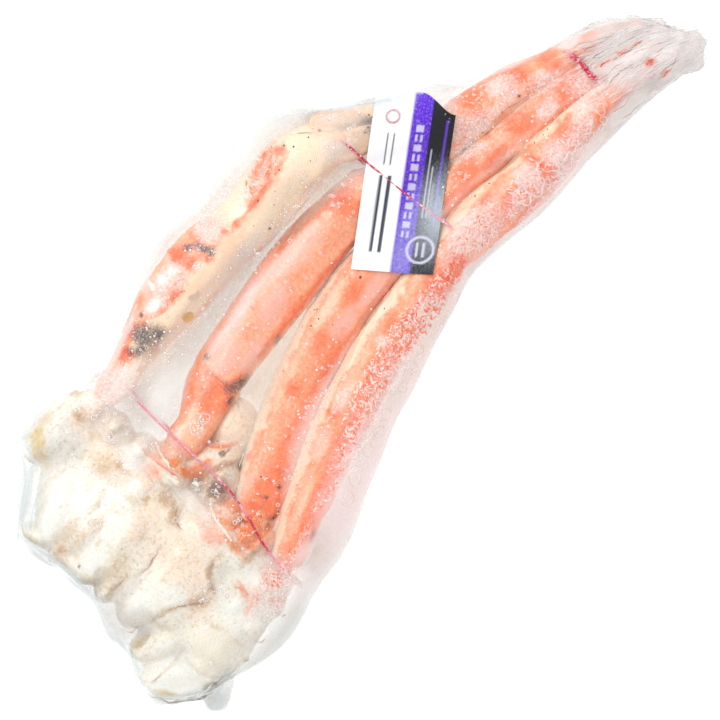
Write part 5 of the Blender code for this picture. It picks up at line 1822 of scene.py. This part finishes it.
def dropMeshes(look):
    chance = np.random.default_rng(look["seed"] + 2)
    points = []
    faces = []
    shadowAndOutlinePoints = []
    shadowAndOutlineFaces = []
    least, most = look["dropSize"]
    for row in look["drops"]:
        for x, y in spotsIn(chance, row):
            place, normal = onIce(x, y)
            if place is None:
                continue
            size = least + (most - least) * chance.random() ** 4
            domeInto(points, faces, place + normal * 0.25, normal, size, chance.random() * 6.28)
            # Painted shade: a darker ring round some of the drops.
            if chance.random() < 0.4:
                ringInto(shadowAndOutlinePoints, shadowAndOutlineFaces, place + normal * 0.15, normal, size * 1.5, size * 1.4, 0.0,
                         size * 0.34, 10, 4)
    for x, y, spread in look["glints"]:
        for part in range(int(4 + 4 * spread)):
            place, normal = onIce(x + chance.normal() * spread * 0.5, y + chance.normal() * spread * 0.5)
            if place is not None:
                domeInto(points, faces, place + normal * 0.2, normal, chance.uniform(0.14, 0.2 + 0.14 * spread),
                         chance.random() * 6.28, 0.4)
    for x, y, long, short, turn in look["rings"]:
        place, normal = onIce(x, y)
        if place is not None and long > 1.6:
            ringInto(shadowAndOutlinePoints, shadowAndOutlineFaces, place - normal * 0.06, normal, long + 0.45, short + 0.45,
                     math.radians(turn), 0.22, 30, 6, 0.09)
    return (newPiece("drops", np.array(points) * mm, faces),
            newPiece("dropShadowsAndOutlines", np.array(shadowAndOutlinePoints) * mm, shadowAndOutlineFaces))


def speckMesh(look):
    points = []
    faces = []
    for x, y, radius in look["specks"]:
        hit = contents.ray_cast(Vector((x * mm, y * mm, 0.2)), Vector((0, 0, -1)))
        if hit[0] is None:
            continue
        domeInto(points, faces, np.array(hit[0]) / mm, np.array(hit[1]), radius * 0.8, x, 0.5)
    return newPiece("shellSpecks", np.array(points) * mm, faces)


def flakeMesh(look, name, seed):
    chance = np.random.default_rng(seed)
    points = []
    faces = []
    outline = ((-1.0, 0.0), (-0.5, 0.45), (0.0, 0.6), (0.5, 0.4), (1.0, 0.0), (0.5, -0.45),
               (0.0, -0.6), (-0.5, -0.4))
    for row in look[name]:
        for x, y in spotsIn(chance, row):
            place, normal = onIce(x, y)
            if place is None:
                continue
            long = chance.uniform(row[6], row[7]) / 2.0
            wide = long * chance.uniform(0.18, 0.5)
            side, other = frameAt(normal, math.radians(row[8] + chance.normal() * 55.0))
            base = len(points)
            lift = chance.uniform(0.02, 0.16)
            bend = chance.uniform(-0.5, 0.5)
            for level in (lift, lift + 0.1):
                for a, b in outline:
                    jag = 1.0 + chance.uniform(-0.2, 0.2)
                    points.append(place + normal * level + side * a * long * jag
                                  + other * (b * wide * jag + bend * wide * a * a))
            count = len(outline)
            faces.append(tuple(base + k for k in range(count))[::-1])
            faces.append(tuple(base + count + k for k in range(count)))
            for k in range(count):
                after = (k + 1) % count
                faces.append((base + k, base + after, base + count + after, base + count + k))
    return newPiece(name, np.array(points) * mm, faces, False)


def frostMaterial(name, tone, other, alpha):
    material, tree, shader = newMaterial(name)
    cloud = noiseOf(tree, 400.0, 3.0, 0.6)
    tree.links.new(mixColour(tree, math2(tree, "MULTIPLY", math2(tree, "SUBTRACT", cloud, 0.35), 3.0, True),
                             tone, other), shader.inputs["Base Color"])
    clear = math2(tree, "ADD", math2(tree, "MULTIPLY", cloud, 0.4), alpha - 0.2, True)
    tree.links.new(clear, shader.inputs["Alpha"])
    shader.inputs["Roughness"].default_value = 0.3
    return material


bubbles = finishPiece(bubbleMesh(frostLook),
                      frostMaterial("bubbleRims", linear(255, 252, 250), linear(242, 230, 226), 0.65))
bubbles.visible_shadow = False
drops, dropShadowsAndOutlines = dropMeshes(frostLook)
# White frost beads, bright also as painted highlights.
finishPiece(drops, frostMaterial("brightDrops", linear(255, 255, 255), linear(250, 244, 240), 0.85))
drops.visible_shadow = False
# Darker rings: painted shade round drops, and outlines of the bigger frost rings.
finishPiece(dropShadowsAndOutlines, frostMaterial("dropShadowsAndOutlines", linear(230, 204, 198), linear(246, 228, 224), 0.5))
dropShadowsAndOutlines.visible_shadow = False
shellSpecks = finishPiece(speckMesh(frostLook),
                          frostMaterial("darkSpecks", linear(92, 66, 48), linear(140, 100, 74), 1.2))
tufts = finishPiece(flakeMesh(frostLook, "tufts", 19),
                    frostMaterial("redTufts", linear(244, 104, 62), linear(248, 140, 92), 0.6))
tufts.visible_shadow = False
flakes = finishPiece(flakeMesh(frostLook, "flakes", 18),
                     frostMaterial("frostCrystals", linear(255, 244, 238), linear(250, 222, 214), 0.5))
flakes.visible_shadow = False
print("bubbles:", len(bubbles.data.vertices), "flakes:", len(flakes.data.vertices))


# ---- floor, light and camera

stageLook = {
    "floorSize": 3.0,
    "floorGlow": 0.62,
    "worldStrength": 0.85,
    "keyPower": 3.7,
    "cameraHeight": 1.748,
    "lens": 180.0,
    "aim": (-18.4, -26.9),        # mm, what the camera looks straight down on
    "turn": -50.0,                # degrees about the view, so the pack lies aslant
}


def makeStage(look):
    half = look["floorSize"] / 2.0
    floor = newPiece("floor", [(-half, -half, -0.0006), (half, -half, -0.0006),
                               (half, half, -0.0006), (-half, half, -0.0006)], [(0, 1, 2, 3)])
    material, tree, shader = newMaterial("whiteTable")
    cloud = noiseOf(tree, 3.0, 2.0, 0.5)
    tree.links.new(mixColour(tree, cloud, (0.78, 0.78, 0.78, 1), (0.82, 0.82, 0.82, 1)),
                   shader.inputs["Base Color"])
    shader.inputs["Roughness"].default_value = 0.6
    shader.inputs["Emission Color"].default_value = (1, 1, 1, 1)
    shader.inputs["Emission Strength"].default_value = look["floorGlow"]
    floor.data.materials.append(material)
    world = bpy.data.worlds.new("studio")
    world.use_nodes = True
    world.node_tree.nodes["Background"].inputs[0].default_value = (1, 1, 1, 1)
    world.node_tree.nodes["Background"].inputs[1].default_value = look["worldStrength"]
    bpy.context.scene.world = world
    key = bpy.data.lights.new("key", "AREA")
    key.size = 0.5
    key.energy = look["keyPower"]
    lamp = bpy.data.objects.new("key", key)
    lamp.location = (0.05, 0.55, 0.75)
    lamp.rotation_euler = (Vector((0, 0, 0.02)) - lamp.location).to_track_quat("-Z", "Y").to_euler()
    bpy.context.scene.collection.objects.link(lamp)
    camera = bpy.data.cameras.new("camera")
    camera.lens = look["lens"]
    eye = bpy.data.objects.new("camera", camera)
    eye.location = (look["aim"][0] * mm, look["aim"][1] * mm, look["cameraHeight"])
    eye.rotation_euler = (0.0, 0.0, math.radians(look["turn"]))
    bpy.context.scene.collection.objects.link(eye)
    bpy.context.scene.camera = eye
    bpy.context.scene.view_settings.view_transform = "Standard"


makeStage(stageLook)
print("stage set")
